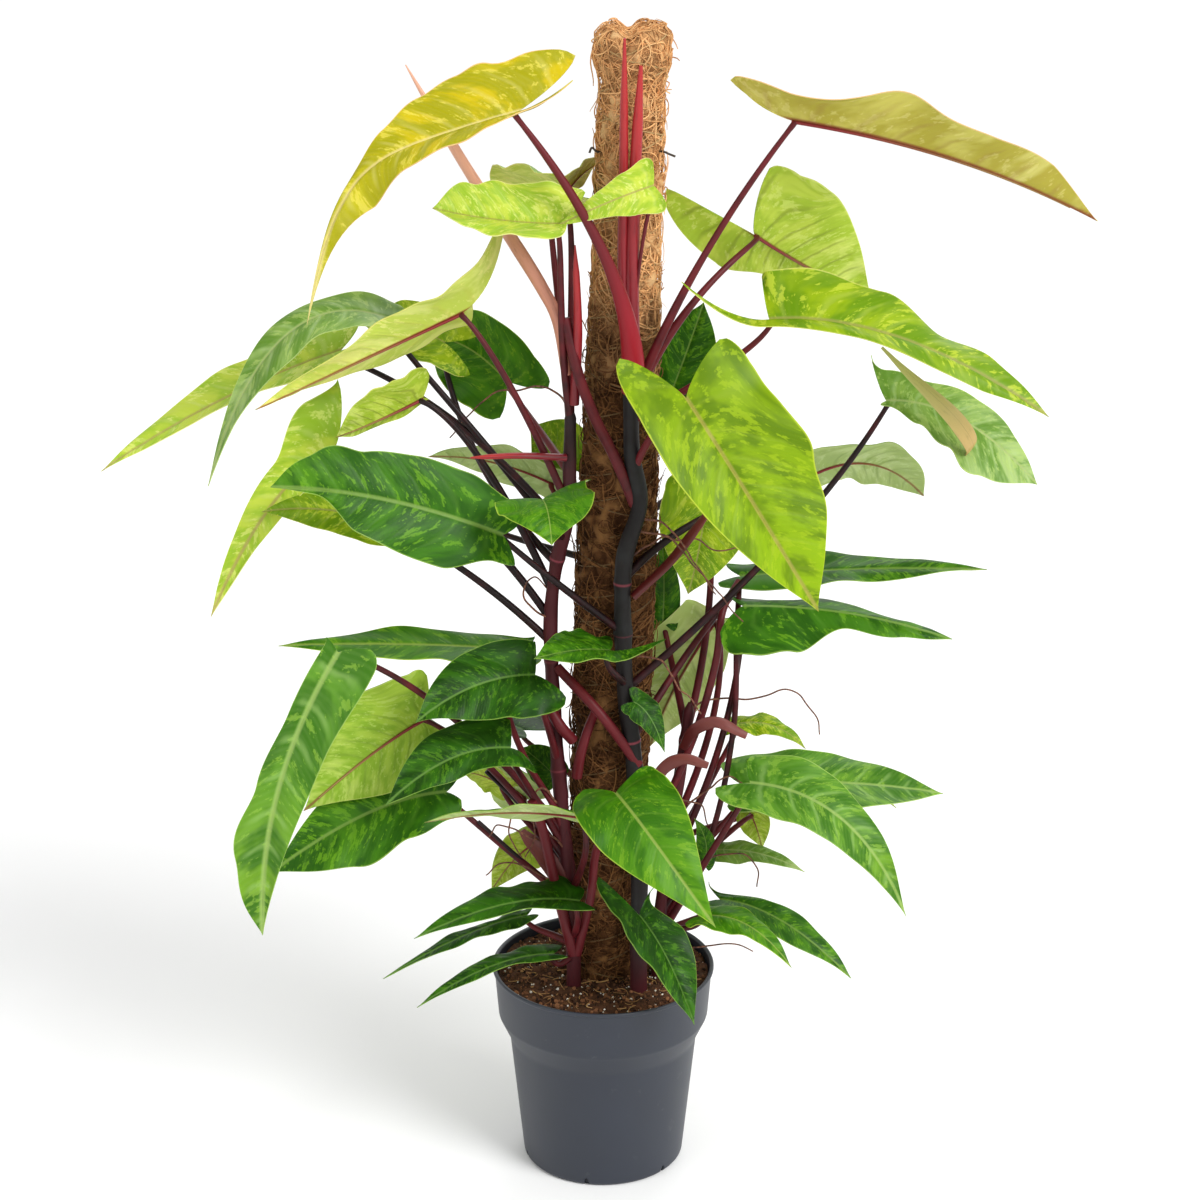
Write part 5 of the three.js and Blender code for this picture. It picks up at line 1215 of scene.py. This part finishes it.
def coir_finish(name, colour, lighter):
    """Coconut fibre: golden at the head, browner down the pole, with painted shade in its hollows and on the
    sleeve's sunk ripples, painted highlights on the sleeve's raised ripples, and darker and paler strands.
    """
    finish = Finish(name, Specular_IOR_Level=0.15)
    place = finish.place()
    height = finish.split(place)[2]
    seed = finish.attribute("flow")[2]
    matted = finish.noise(place, 130, 6, 0.7)
    clumps = finish.noise(place, 26, 3)
    brown_to_golden = (height + (clumps - 0.5) * 0.16).rise(*COIR_BROWN_TO_GOLDEN)
    colour = scaled(colour, lighter)
    tone = finish.mix(brown_to_golden, scaled(colour, (0.21, 0.165, 0.14)), colour)
    # Painted shade: the hollows of the matted noise, which the bump sinks, turn dark brown, more so down the
    # pole
    tone = finish.mix((1 - matted.rise(0.34, 0.5)) * (0.8 - 0.4 * brown_to_golden), tone, linear(50, 26, 11))
    # On the sleeve the seed is its ripple, so this paints shade on its sunk parts; on the loose strands it
    # darkens some strands at random
    dark = 1 - (seed + (matted - 0.5) * 0.3).rise(0.16, 0.42)
    tone = finish.mix(dark * (0.75 - 0.45 * brown_to_golden), tone, linear(62, 34, 16))
    # Painted highlights on the sleeve's raised parts, the same way, and paler strands at random among the
    # loose ones
    pale = finish.mix(brown_to_golden, linear(150, 108, 64), linear(232, 194, 140))
    tone = finish.mix((seed + (matted - 0.5) * 0.4).rise(0.55, 1.0) * 0.5, tone, pale)
    finish.bump(matted, strength=0.9, distance=2.5)
    return finish.paint(tone, 0.9)


def thread_finish():
    """Pale binding thread, browner down the pole."""
    finish = Finish("binding_thread", Specular_IOR_Level=0.3)
    twist = finish.noise(finish.place(), 700, 3)
    height = finish.split(finish.place())[2]
    tone = finish.mix(twist, linear(140, 106, 62), linear(200, 170, 118))
    tone = finish.mix((1 - height.rise(*THREAD_BROWN_TO_GOLDEN)) * 0.75, tone, linear(70, 44, 22))
    finish.bump(twist, strength=0.5, distance=0.3)
    return finish.paint(tone, 0.7)


def wood_finish():
    """Sawn softwood: long grain along the stake."""
    finish = Finish("stake_wood")
    x, y, z = finish.split(finish.place())
    grain = finish.noise(finish.vector(x * 260, y * 260, z * 9), 1, 5)
    finish.bump(grain, strength=0.4, distance=0.4)
    return finish.paint(finish.mix(grain.rise(0.3, 0.7), linear(150, 112, 70), linear(196, 160, 112)), 0.8)


def floor_finish(colour):
    """Even pale floor, a shade lighter in wide soft patches."""
    finish = Finish("studio_floor", Specular_IOR_Level=0.2)
    patches = finish.noise(finish.place(), 3, 2)
    return finish.paint(finish.mix(patches, tuple(colour), scaled(colour, 1.02)), 0.75)


def revolved(outline, sides):
    """A closed body turned about the upright axis from an outline that starts and ends on the axis."""
    radius, height = (values[:, None] * np.ones(sides) for values in np.array(outline[1:-1]).T)
    angle = turns(sides)
    points = np.stack([radius * np.cos(angle), radius * np.sin(angle), height], -1).reshape(-1, 3)
    return capped(points, sides, (0, 0, outline[0][1]), (0, 0, outline[-1][1]))


def rounded(outline, radius, steps=4):
    """The outline with each corner between two edges longer than the radius turned into a short arc,
    a curve from one edge to the other that leans to the corner."""
    outline = np.array(outline, float)
    result = [outline[0]]
    for before, corner, after in zip(outline, outline[1:], outline[2:]):
        sides = [p - corner for p in (before, after)]
        room = min(radius, *(0.45 * np.linalg.norm(side) for side in sides))
        start, end = (corner + unit(side) * room for side in sides)
        for t in np.linspace(0, 1, steps):
            result.append((1 - t) ** 2 * start + 2 * t * (1 - t) * corner + t * t * end)
    return [*result, outline[-1]]


class PLANT_OT_stage(bpy.types.Operator):
    """Adds the floor, the soft studio lights and the camera"""

    bl_idname = "plant.stage"
    bl_label = "Stage"

    def execute(self, context):
        values = context.scene.plant_stage
        mesh = bpy.data.meshes.new("floor")
        corners = [(x * FLOOR_REACH, y * FLOOR_REACH, 0) for x, y in ((-1, -1), (1, -1), (1, 1), (-1, 1))]
        mesh.from_pydata(corners, [], [(0, 1, 2, 3)])
        mesh.materials.append(floor_finish(values.floor))
        floor = bpy.data.objects.new("floor", mesh)
        context.scene.collection.objects.link(floor)
        key = bpy.data.lights.new("key", "SUN")
        key.energy = values.key
        key.angle = SUN["spread"]
        self.hang(context, key, SUN["place"])
        for name, (place, size, power) in SOFTBOXES.items():
            light = bpy.data.lights.new(name, "AREA")
            light.size = size
            light.energy = power
            self.hang(context, light, place)
        world = bpy.data.worlds.new("studio")
        world.use_nodes = True
        background = world.node_tree.nodes["Background"]
        background.inputs["Color"].default_value = (1, 1, 1, 1)
        background.inputs["Strength"].default_value = values.ambience
        context.scene.world = world
        context.scene.view_settings.view_transform = "Standard"
        lens = bpy.data.cameras.new("camera")
        lens.lens = values.lens
        lens.sensor_width = SENSOR
        camera = bpy.data.objects.new("camera", lens)
        camera.location = (CAMERA_X, -values.distance, values.height)
        camera.rotation_euler = (math.pi / 2 - values.pitch, 0, 0)
        context.scene.collection.objects.link(camera)
        context.scene.camera = camera
        return {"FINISHED"}

    @staticmethod
    def hang(context, light, place):
        """Hangs a light at a place and turns it to the middle of the plant."""
        lamp = bpy.data.objects.new(light.name, light)
        x, y, z = np.subtract(AIM, place)
        lamp.location = place
        lamp.rotation_euler = (math.atan2(math.hypot(x, y), -z), 0, math.atan2(y, x) - math.pi / 2)
        context.scene.collection.objects.link(lamp)


class PLANT_OT_pot(bpy.types.Operator):
    """Makes the pot with its collar, rolled lip, drain holes and foot notches"""

    bl_idname = "plant.pot"
    bl_label = "Pot"

    def execute(self, context):
        lip = RIM_RADIUS - LIP_PROUD
        collar = COLLAR_FOOT + COLLAR_ROUND
        outer = [
            (0, 0), (BASE_RADIUS - BASE_ROUND, 0), (BASE_RADIUS, BASE_ROUND),
            (BASE_RADIUS + BASE_BAND["proud"], BASE_BAND["height"]), (BODY_TOP_RADIUS, BODY_TOP),
            (COLLAR_FOOT_RADIUS - COLLAR_ROUND, COLLAR_FOOT - COLLAR_ROUND),
            (COLLAR_FOOT_RADIUS, collar), (lip, POT_HEIGHT - LIP_HEIGHT),
            (RIM_RADIUS, POT_HEIGHT - LIP_HEIGHT + RIM_ROUND), (RIM_RADIUS, POT_HEIGHT - RIM_ROUND),
            (RIM_RADIUS - RIM_ROUND, POT_HEIGHT)]
        inner = [
            (lip, POT_HEIGHT - RIM_ROUND), (COLLAR_FOOT_RADIUS, collar),
            (COLLAR_FOOT_RADIUS - COLLAR_ROUND, COLLAR_FOOT), (BODY_TOP_RADIUS, BODY_TOP + RIM_ROUND),
            (BASE_RADIUS - 0.4 * POT_WALL, POT_FLOOR)]
        outline = [*outer, *((radius - POT_WALL, height) for radius, height in inner), (0, POT_FLOOR)]
        shell = Shell(*revolved(rounded(outline, CORNER), POT_SIDES))
        finish = pot_finish(context.scene.plant_colours.pot)
        piece = make_piece("nursery_pot", [shell], [finish], ["pot"])
        cutters = []
        for i in range(DRAIN["count"]):
            x, y = self.way(i + DRAIN["turn"], DRAIN["count"]) * DRAIN["circle"]
            path = np.array([(x, y, DRAIN["below"]), (x, y, DRAIN["above"])], float)
            cutters.append(swept(path, DRAIN["radius"], DRAIN["radius"], CUTTER_SIDES))
        for i in range(NOTCH["count"]):
            way = np.array([*self.way(i + NOTCH["turn"], NOTCH["count"]), 0])
            path = np.array([way * (BASE_RADIUS - NOTCH["in"]), way * (BASE_RADIUS + NOTCH["out"])])
            cutters.append(swept(path, NOTCH["width"] / 2, NOTCH["height"], CUTTER_SIDES, across=(0, 0, 1)))
        cut_from(piece, cutters)
        return {"FINISHED"}

    @staticmethod
    def way(step, count):
        """The direction of a step of count steps once round."""
        angle = TURN * step / count
        return np.array([math.cos(angle), math.sin(angle)])


def cut_from(piece, cutters):
    """Takes the cutters out of the piece and keeps the result as its mesh."""
    mesh = bpy.data.meshes.new("cutter")
    points, faces = joined(cutters)
    mesh.from_pydata(points, [], faces)
    cutter = bpy.data.objects.new("cutter", mesh)
    bpy.context.scene.collection.objects.link(cutter)
    modifier = piece.modifiers.new("holes", "BOOLEAN")
    modifier.operation = "DIFFERENCE"
    modifier.object = cutter
    modifier.solver = "EXACT"
    graph = bpy.context.evaluated_depsgraph_get()
    result = bpy.data.meshes.new_from_object(piece.evaluated_get(graph))
    piece.modifiers.remove(modifier)
    piece.data = result
    bpy.data.objects.remove(cutter)


def pole_x(z):
    """How far right of the pot's axis the leaning pole's own axis is at a height."""
    return POLE_LEAN * (z - POT_HEIGHT)


def pole_radius(z):
    """The sleeve's radius: it sags to its widest halfway up, is slim above, and flares at the head,
    where it is folded in."""
    shaft = np.interp(z, POLE_HEIGHTS, POLE_RADII)
    flare = smooth(np.clip((z - POLE_TOP + HEAD["height"]) / HEAD["flare"], 0, 1))
    close = np.clip((z - POLE_TOP + HEAD["close"]) / HEAD["close"], 0, 1)
    return shaft + (HEAD["radius"] - shaft) * flare - HEAD["draw"] * close ** 2


def round_pole(radius, angle, z):
    """Points at a radius and angle round the pole's axis."""
    return np.stack([pole_x(z) + radius * np.cos(angle), radius * np.sin(angle), z], -1)


def folded(points):
    """Sinks the middle of the sleeve's head, where the fibre is folded in."""
    x, y, z = np.moveaxis(points, -1, 0)
    share = peak(x - pole_x(z) + FOLD["left"], FOLD["width"])
    share = share * np.clip((z - POLE_TOP + FOLD["height"]) / FOLD["height"], 0, 1)
    return np.stack([x, y * (1 - FOLD["pinch"] * share), z - FOLD["sink"] * share], -1)


def grains(centres, sizes, seed):
    """A grain on each centre: an octahedron cut once more, its corners moved at random. Each keeps a
    seed of its own in flow."""
    rng = np.random.default_rng(seed)
    signs = [(x, y, z) for z in (1, -1) for y in (1, -1) for x in (1, -1)]
    points = [(1, 0, 0), (-1, 0, 0), (0, 1, 0), (0, -1, 0), (0, 0, 1), (0, 0, -1), *signs]
    base = unit(np.array(points, float))
    faces = []
    for corner, (x, y, z) in enumerate(signs):
        axes = [0 if x > 0 else 1, 2 if y > 0 else 3, 4 if z > 0 else 5][::x * y * z]
        faces += [(6 + corner, axes[k], axes[(k + 1) % 3]) for k in range(3)]
    count = len(centres)
    turn = unit(rng.normal(size=(count, 3)))
    stretch = rng.uniform(0.55, 1.25, (count, 1, 3))
    lumps = rng.uniform(0.75, 1.2, (count, len(base), 1))
    flipped = base[None] - 2 * (base @ turn.T).T[..., None] * turn[:, None]
    points = centres[:, None] - flipped * stretch * lumps * sizes[:, None, None]
    starts = (np.arange(count) * len(base))[:, None, None]
    flow = np.zeros((count, len(base), 3))
    flow[..., 2] = rng.uniform(size=(count, 1))
    return points.reshape(-1, 3), (np.array(faces) + starts).reshape(-1, 3), flow.reshape(-1, 3)


def strands(path, radius, seeds):
    """Thin three-sided strands, one for each row of paths, closed at both ends."""
    count, steps, _ = path.shape
    tangent = unit(np.gradient(path, axis=1))
    outwards = path * [1, 1, 0]
    outwards[..., 0] -= pole_x(path[..., 2])
    first = unit(np.cross(tangent, outwards + 1e-6))
    second = np.cross(tangent, first)
    angle = turns(3)[:, None]
    taper = np.sin(np.linspace(0.25, math.pi - 0.25, steps)) ** 0.4
    thickness = radius[:, None, None, None] * taper[None, :, None, None]
    ring = np.cos(angle) * first[:, :, None] + np.sin(angle) * second[:, :, None]
    points = path[:, :, None] + thickness * ring
    starts = (np.arange(count) * steps * 3)[:, None, None]
    quads = (grid_faces(steps, 3, True) + starts).reshape(-1, 4)
    last = steps * 3
    caps = (np.array([[2, 1, 0], [last - 3, last - 2, last - 1]]) + starts).reshape(-1, 3)
    flow = np.zeros((count, last, 3))
    flow[..., 2] = seeds[:, None]
    return Shell(points.reshape(-1, 3), [quads, caps], 0, flow.reshape(-1, 3))


def crown_strands(count, seed):
    """Strands that cross the folded top of the sleeve in shallow arcs."""
    rng = np.random.default_rng(seed)
    share = np.linspace(-1, 1, STRAND["steps"])
    middle = rng.normal(0, CROWN["spread"], (2, count, 1))
    heading = rng.uniform(0, math.pi, count)[:, None] + rng.normal(0, 1.0, count)[:, None] * share
    half = rng.uniform(*CROWN["half"], count)[:, None]
    x = middle[0] + half * share * np.cos(heading)
    y = middle[1] + half * share * np.sin(heading)
    reach = np.hypot(x, y)
    x, y = (v * np.minimum(1, CROWN["reach"] / np.maximum(reach, 1)) for v in (x, y))
    dip = CROWN["dip"] * (1 - np.minimum(reach / CROWN["dip_reach"], 1))
    sink = dip - rng.uniform(0, CROWN["arc"], count)[:, None] * (1 - share ** 2)
    path = folded(np.stack([pole_x(POLE_TOP) + x, y, POLE_TOP - sink], -1))
    return strands(path, rng.uniform(*CROWN["radius"], count), rng.uniform(size=count))


def coir_strands(count, seed):
    """Strands that lie on the pole in loose arcs: each starts anywhere on it, runs in a heading that
    bends as it goes, and lifts off the mat in its middle."""
    rng = np.random.default_rng(seed)
    length = rng.uniform(*STRAND["length"], count)
    heading = rng.uniform(0, TURN, count)
    bend = rng.normal(0, STRAND["bend"], count)
    share = np.linspace(0, 1, STRAND["steps"])
    way = heading[:, None] + bend[:, None] * share
    step = length[:, None] / (STRAND["steps"] - 1)
    round_way = np.cumsum(np.cos(way) * step, axis=1)
    up_way = np.cumsum(np.sin(way) * step, axis=1)
    z = rng.uniform(ROUGH_FROM + 1, POLE_TOP + STRAND["over"], count)[:, None] + up_way
    z = np.clip(z, ROUGH_FROM - 1, POLE_TOP + STRAND["top"])
    angle = rng.uniform(0, TURN, count)[:, None] + round_way / POLE_RADIUS
    lift = rng.gamma(*STRAND["lift"], count)[:, None] * np.sin(math.pi * share) + STRAND["clear"]
    strays = rng.uniform(size=count) > 1 - STRAY_SHARE
    stray = (strays * rng.uniform(*STRAND["stray"], count))[:, None] * share ** 2
    path = folded(round_pole(pole_radius(z) + np.minimum(lift, STRAND["proud"]) + stray, angle, z))
    return strands(path, rng.uniform(*STRAND["radius"], count), rng.uniform(size=count))


def coir_sleeve():
    """The sleeve: rings round the pole, made uneven by three sizes of ripple where the soil doesn't
    hide them, and closed at both ends. flow holds the ripple as a seed, which the coir's finish turns into
    painted shade on the sunk parts and painted highlights on the raised ones."""
    buried = np.linspace(POLE_FOOT, ROUGH_FROM - 1, SLEEVE_RINGS["buried"])
    seen = np.linspace(ROUGH_FROM + 1, POLE_TOP, SLEEVE_RINGS["seen"])
    z, angle = meshed(np.concatenate([buried, seen]), turns(SLEEVE_SIDES))
    radius = pole_radius(z)
    skin = np.stack([radius * np.cos(angle), radius * np.sin(angle), z], -1)
    rough = rippled(skin, COIR_RIPPLES)
    points = folded(round_pole(radius - SLEEVE_INSET + np.where(z > ROUGH_FROM, rough, 0), angle, z))
    flow = np.zeros((len(z) + 2, 3))
    flow[:-2, 2] = np.clip(0.5 + 0.14 * rough, 0, 1)
    foot = (pole_x(POLE_FOOT), 0, POLE_FOOT)
    head = (pole_x(POLE_TOP), 0, POLE_TOP - HEAD["close"])
    return Shell(*capped(points, SLEEVE_SIDES, foot, head), 0, flow)


def binding_thread(way, start):
    """A thread that winds round the pole one way or the other, a turn every pitch, and wavers."""
    z = np.linspace(THREAD["foot"], POLE_TOP - THREAD["short"], THREAD["steps"])
    angle = start + way * z / THREAD["pitch"] * TURN + 0.25 * np.sin(z / 17)
    path = folded(round_pole(pole_radius(z) + THREAD["clear"] + 0.5 * np.sin(z / 5 + start), angle, z))
    return swept(path, THREAD["radius"], THREAD["radius"], THREAD["sides"], across=(0, 0, 1))


class PLANT_OT_pole(bpy.types.Operator):
    """Makes the coir sleeve, its loose strands and binding threads, and finishes the stake"""

    bl_idname = "plant.pole"
    bl_label = "Coir pole"

    def execute(self, context):
        colour = context.scene.plant_colours.coir
        make_piece("coir_sleeve", [coir_sleeve()], [coir_finish("coir_fibre", colour, SLEEVE_PAINTED_SHADE)],
                   ["coir_wrap"])
        loose = coir_finish("coir_strand", colour, STRAND_PAINTED_LIGHT)
        number = context.scene.plant_sizes.strands
        for k, name in enumerate(("coir_strands_a", "coir_strands_b")):
            bundle = [coir_strands(number, STRAND["seed"] + k),
                      crown_strands(CROWN["strands"], CROWN["seed"] + k)]
            make_piece(name, bundle, [loose], [])
        threads = [binding_thread(way, start) for way, start in THREAD["starts"]]
        threads += [swept(spline(points, TIE["steps"]), TIE["radius"], TIE["radius"], TIE["sides"],
                          material=1) for points in TIE_ENDS]
        tie = sheath_finish("tie_dark", (44, 36, 30), (70, 58, 46))
        make_piece("coir_threads", threads, [thread_finish(), tie], [])
        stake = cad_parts["pole_stake"]
        stake.data.materials.clear()
        stake.data.materials.append(wood_finish())
        return {"FINISHED"}


def soil_surface(x, y):
    """The soil's top: highest in the middle, lower at the wall by the cube of the share of the way
    there, and uneven by three sizes of ripple."""
    flat = np.stack([x, y, np.zeros_like(x)], -1)
    z = SOIL_TOP + SOIL_CROWN - SOIL_FALL * (np.hypot(x, y) / SOIL_RADIUS) ** 3
    return np.stack([x, y, z + rippled(flat, SOIL_RIPPLES)], -1)


def soil_bed():
    """The top as rings from the middle out, a ring below its edge, and both ends closed."""
    radius, angle = meshed(np.linspace(0.02, 1, SOIL_RINGS) * SOIL_RADIUS, turns(SOIL_SIDES))
    top = soil_surface(radius * np.cos(angle), radius * np.sin(angle))
    skirt = top[-SOIL_SIDES:] * (SOIL_FOOT_RADIUS / SOIL_RADIUS)
    skirt[:, 2] = SOIL_FOOT
    middle = (0, 0, top[:SOIL_SIDES, 2].mean())
    return Shell(*capped(np.concatenate([top, skirt]), SOIL_SIDES, middle, (0, 0, SOIL_FOOT), downwards=True))


def scattered(rng, number, material, low, high, front):
    """Grains of sizes from low to high, strewn evenly but for the share kept for the front."""
    tries = GRAIN_TRIES * number
    radius = SOIL_RADIUS * np.sqrt(rng.uniform(0.02, 1, tries))
    angle = rng.uniform(0, TURN, tries)
    ahead = (np.sin(angle) < SOIL_FRONT[0]) & (radius > SOIL_FRONT[1] * SOIL_RADIUS)
    keep = (rng.uniform(size=tries) < 1 - front + front * ahead) & (radius < SOIL_RADIUS - 2)
    x, y = (radius * np.cos(angle))[keep][:number], (radius * np.sin(angle))[keep][:number]
    centres = soil_surface(x, y)
    size = rng.uniform(low, high, len(x)) * rng.uniform(0.5, 1, len(x))
    centres[:, 2] += 0.3 * size
    points, faces, flow = grains(centres, size, GRAIN_SEED + material)
    return Shell(points, [faces], material, flow)


def straw(rng):
    """One bit of straw or root: a short bowed and slightly tilted stick on the soil."""
    radius = (SOIL_RADIUS - STRAW["inset"]) * math.sqrt(rng.uniform(0.05, 1))
    angle, heading = rng.uniform(0, TURN, 2)
    reach = rng.uniform(*STRAW["length"])
    t = np.linspace(-0.5, 0.5, STRAW["steps"])
    bow = rng.normal(0, STRAW["bow"]) * reach * (0.25 - t * t) * 4
    x = radius * math.cos(angle) + reach * t * math.cos(heading) - bow * math.sin(heading)
    y = radius * math.sin(angle) + reach * t * math.sin(heading) + bow * math.cos(heading)
    path = soil_surface(x, y)
    path[:, 2] = path[:, 2].mean() + STRAW["proud"] + reach * t * rng.normal(0, STRAW["tilt"])
    thickness = rng.uniform(*STRAW["radius"])
    return swept(path, thickness, thickness, STRAW["sides"], across=(0, 0, 1), material=3, seed=rng.uniform())


class PLANT_OT_soil(bpy.types.Operator):
    """Makes the soil's rough top with crumbs, white grains and straw"""

    bl_idname = "plant.soil"
    bl_label = "Soil"

    def execute(self, context):
        sizes = context.scene.plant_sizes
        rng = np.random.default_rng(SOIL_SEED)
        shells = [soil_bed(), scattered(rng, sizes.crumbs, *CRUMB), scattered(rng, sizes.perlite, *PERLITE)]
        shells += [straw(rng) for _ in range(STRAWS)]
        finishes = [
            soil_finish(context.scene.plant_colours.soil),
            grain_finish("peat_crumb", (40, 22, 14), (134, 90, 60)),
            grain_finish("perlite", (200, 190, 172), (246, 242, 232)),
            grain_finish("straw_bit", (96, 58, 34), (190, 148, 96)),
        ]
        make_piece("soil_top", shells, finishes, ["soil"])
        return {"FINISHED"}


class LeafKit:
    """Makes each look's material once, and hands them out."""

    def __init__(self):
        self.rib = rib_finish()
        self.made = {}

    def finishes(self, leaf):
        """A leaf's three materials: its upper side, its underside and the midrib."""
        for look in (leaf.upper, leaf.under):
            if look not in self.made:
                self.made[look] = leaf_finish(look)
        return [self.made[leaf.upper], self.made[leaf.under], self.rib]


def rolled_margin(material):
    """A blade's dry margin, rolled up: a flat tube along its points, whose width follows a sine that
    is at its most past the middle."""
    path = spline(ROLLED_MARGIN, ROLL["steps"])
    share = np.linspace(ROLL["start"], 1, len(path))
    wide = ROLL["least"] + ROLL["swell"] * np.sin(ROLL["sweep"] * share ** ROLL["lean"])
    return swept(path, wide, wide * ROLL["flat"], ROLL["sides"], across=ROLL["across"], material=material)


class PLANT_OT_foliage(bpy.types.Operator):
    """Makes the stems with their stalks, small leaves and roots, and each large leaf"""

    bl_idname = "plant.foliage"
    bl_label = "Stems and leaves"

    def execute(self, context):
        sizes = context.scene.plant_sizes
        colours = context.scene.plant_colours
        kit = LeafKit()
        stem = stem_finish(tuple(colours.stem))
        stalk = stalk_finish("stalk_skin", tuple(colours.stalk), tuple(colours.stem))
        root = root_finish()
        for name in STEMS:
            materials = [stem, stalk, root]
            large, small, back = ([leaf for leaf in leaves if leaf.stem == name]
                                  for leaves in (LEAVES, SMALL_LEAVES, BACK_LEAVES))
            shells = [stem_shell(name), *(stalk_shell(leaf, 1) for leaf in large + small + back)]
            for leaves, rows in ((small, ROWS["small"]), (back, ROWS["back"])):
                for leaf in leaves:
                    shells += blade_shells(leaf, sizes, rows, rows // 4, len(materials))
                    materials += kit.finishes(leaf)
            for number, (owner, radii, blush, points) in enumerate(BARE_STALKS):
                if owner == name:
                    shells.append(bare_stalk(points, radii, 1, number / len(BARE_STALKS), blush))
            for number, (owner, points) in enumerate(ROOTS):
                if owner == name:
                    shells.append(root_shell(points, 2, 3 * number))
            make_piece(f"{name}_stem", shells, materials, [f"stem_{name}"])
        for leaf in LEAVES:
            rows = ROWS["long" if leaf.length > LONG_BLADE else "short"]
            shells = blade_shells(leaf, sizes, rows, COLUMNS)
            materials = kit.finishes(leaf)
            if leaf.name == "leaf_28":
                shells.append(rolled_margin(len(materials)))
                materials.append(sheath_finish("rolled_margin", (186, 184, 104), (190, 156, 96)))
            make_piece(leaf.name.replace("leaf", "blade"), shells, materials, [leaf.name])
        return {"FINISHED"}


def tapered(half, late):
    """A sheath's half axis along it: from the foot's to the middle's, then to a share of that near
    the tip, and fast to the tip's."""
    foot, middle, tip = half
    share = np.linspace(0, 1, SHEATH["steps"])
    return np.interp(share, (0, 0.5, SHEATH["narrow_at"], 1), (foot, middle, late * middle, tip))


class PLANT_OT_sheaths(bpy.types.Operator):
    """Makes the rolled red spears and the drying sheaths"""

    bl_idname = "plant.sheaths"
    bl_label = "Spears and sheaths"

    def execute(self, context):
        # The property's linear colour, about as the eye names it
        spear = tuple(round(255 * c ** (1 / 2.2)) for c in context.scene.plant_colours.spear)
        finishes = {
            "spear": (sheath_finish("spear_skin", spear, (170, 38, 40)), "spear_red"),
            "blush": (sheath_finish("blush_skin", (200, 134, 112), (222, 166, 136)), "sheath_pink"),
            "sheath": (sheath_finish("sheath_skin", (92, 27, 26), (112, 52, 44)), "sheath_pink"),
        }
        for name, (kind, across, arms) in SHEATHS.items():
            finish, slot = finishes[kind]
            across = np.cross(across, SHEATH_SIDE)
            shells = [swept(spline(points, SHEATH["steps"]), tapered(wide, SHEATH["wide"]),
                            tapered(thick, SHEATH["thick"]), SHEATH["sides"], across=across,
                            seed=len(name) / 7) for points, wide, thick in arms]
            make_piece(f"{name}_skin", shells, [finish], [name])
        return {"FINISHED"}


class PLANT_PT_panel(bpy.types.Panel):
    """Lists the plant's sizes, colours and steps"""

    bl_label = "Potted philodendron"
    bl_idname = "PLANT_PT_panel"
    bl_space_type = "VIEW_3D"
    bl_region_type = "UI"
    bl_category = "Plant"

    def draw(self, context):
        for group in (context.scene.plant_sizes, context.scene.plant_colours, context.scene.plant_stage):
            for name in group.bl_rna.properties.keys():
                if name not in ("rna_type", "name"):
                    self.layout.prop(group, name)
        for operator in OPERATORS:
            self.layout.operator(operator.bl_idname)


OPERATORS = (PLANT_OT_stage, PLANT_OT_pot, PLANT_OT_soil, PLANT_OT_pole, PLANT_OT_foliage, PLANT_OT_sheaths)
GROUPS = {"plant_sizes": PlantSizes, "plant_colours": PlantColours, "plant_stage": StageValues}


def register():
    """Registers every class and gives each scene the groups of values."""
    for cls in (*GROUPS.values(), *OPERATORS, PLANT_PT_panel):
        bpy.utils.register_class(cls)
    for name, group in GROUPS.items():
        setattr(bpy.types.Scene, name, PointerProperty(type=group))


def unregister():
    """Takes back what register added."""
    for name in GROUPS:
        delattr(bpy.types.Scene, name)
    for cls in reversed((*GROUPS.values(), *OPERATORS, PLANT_PT_panel)):
        bpy.utils.unregister_class(cls)


def main():
    """Makes the plant step by step."""
    register()
    bpy.ops.plant.stage()
    bpy.ops.plant.pot()
    bpy.ops.plant.soil()
    bpy.ops.plant.pole()
    bpy.ops.plant.foliage()
    bpy.ops.plant.sheaths()


if __name__ == "__main__":
    main()
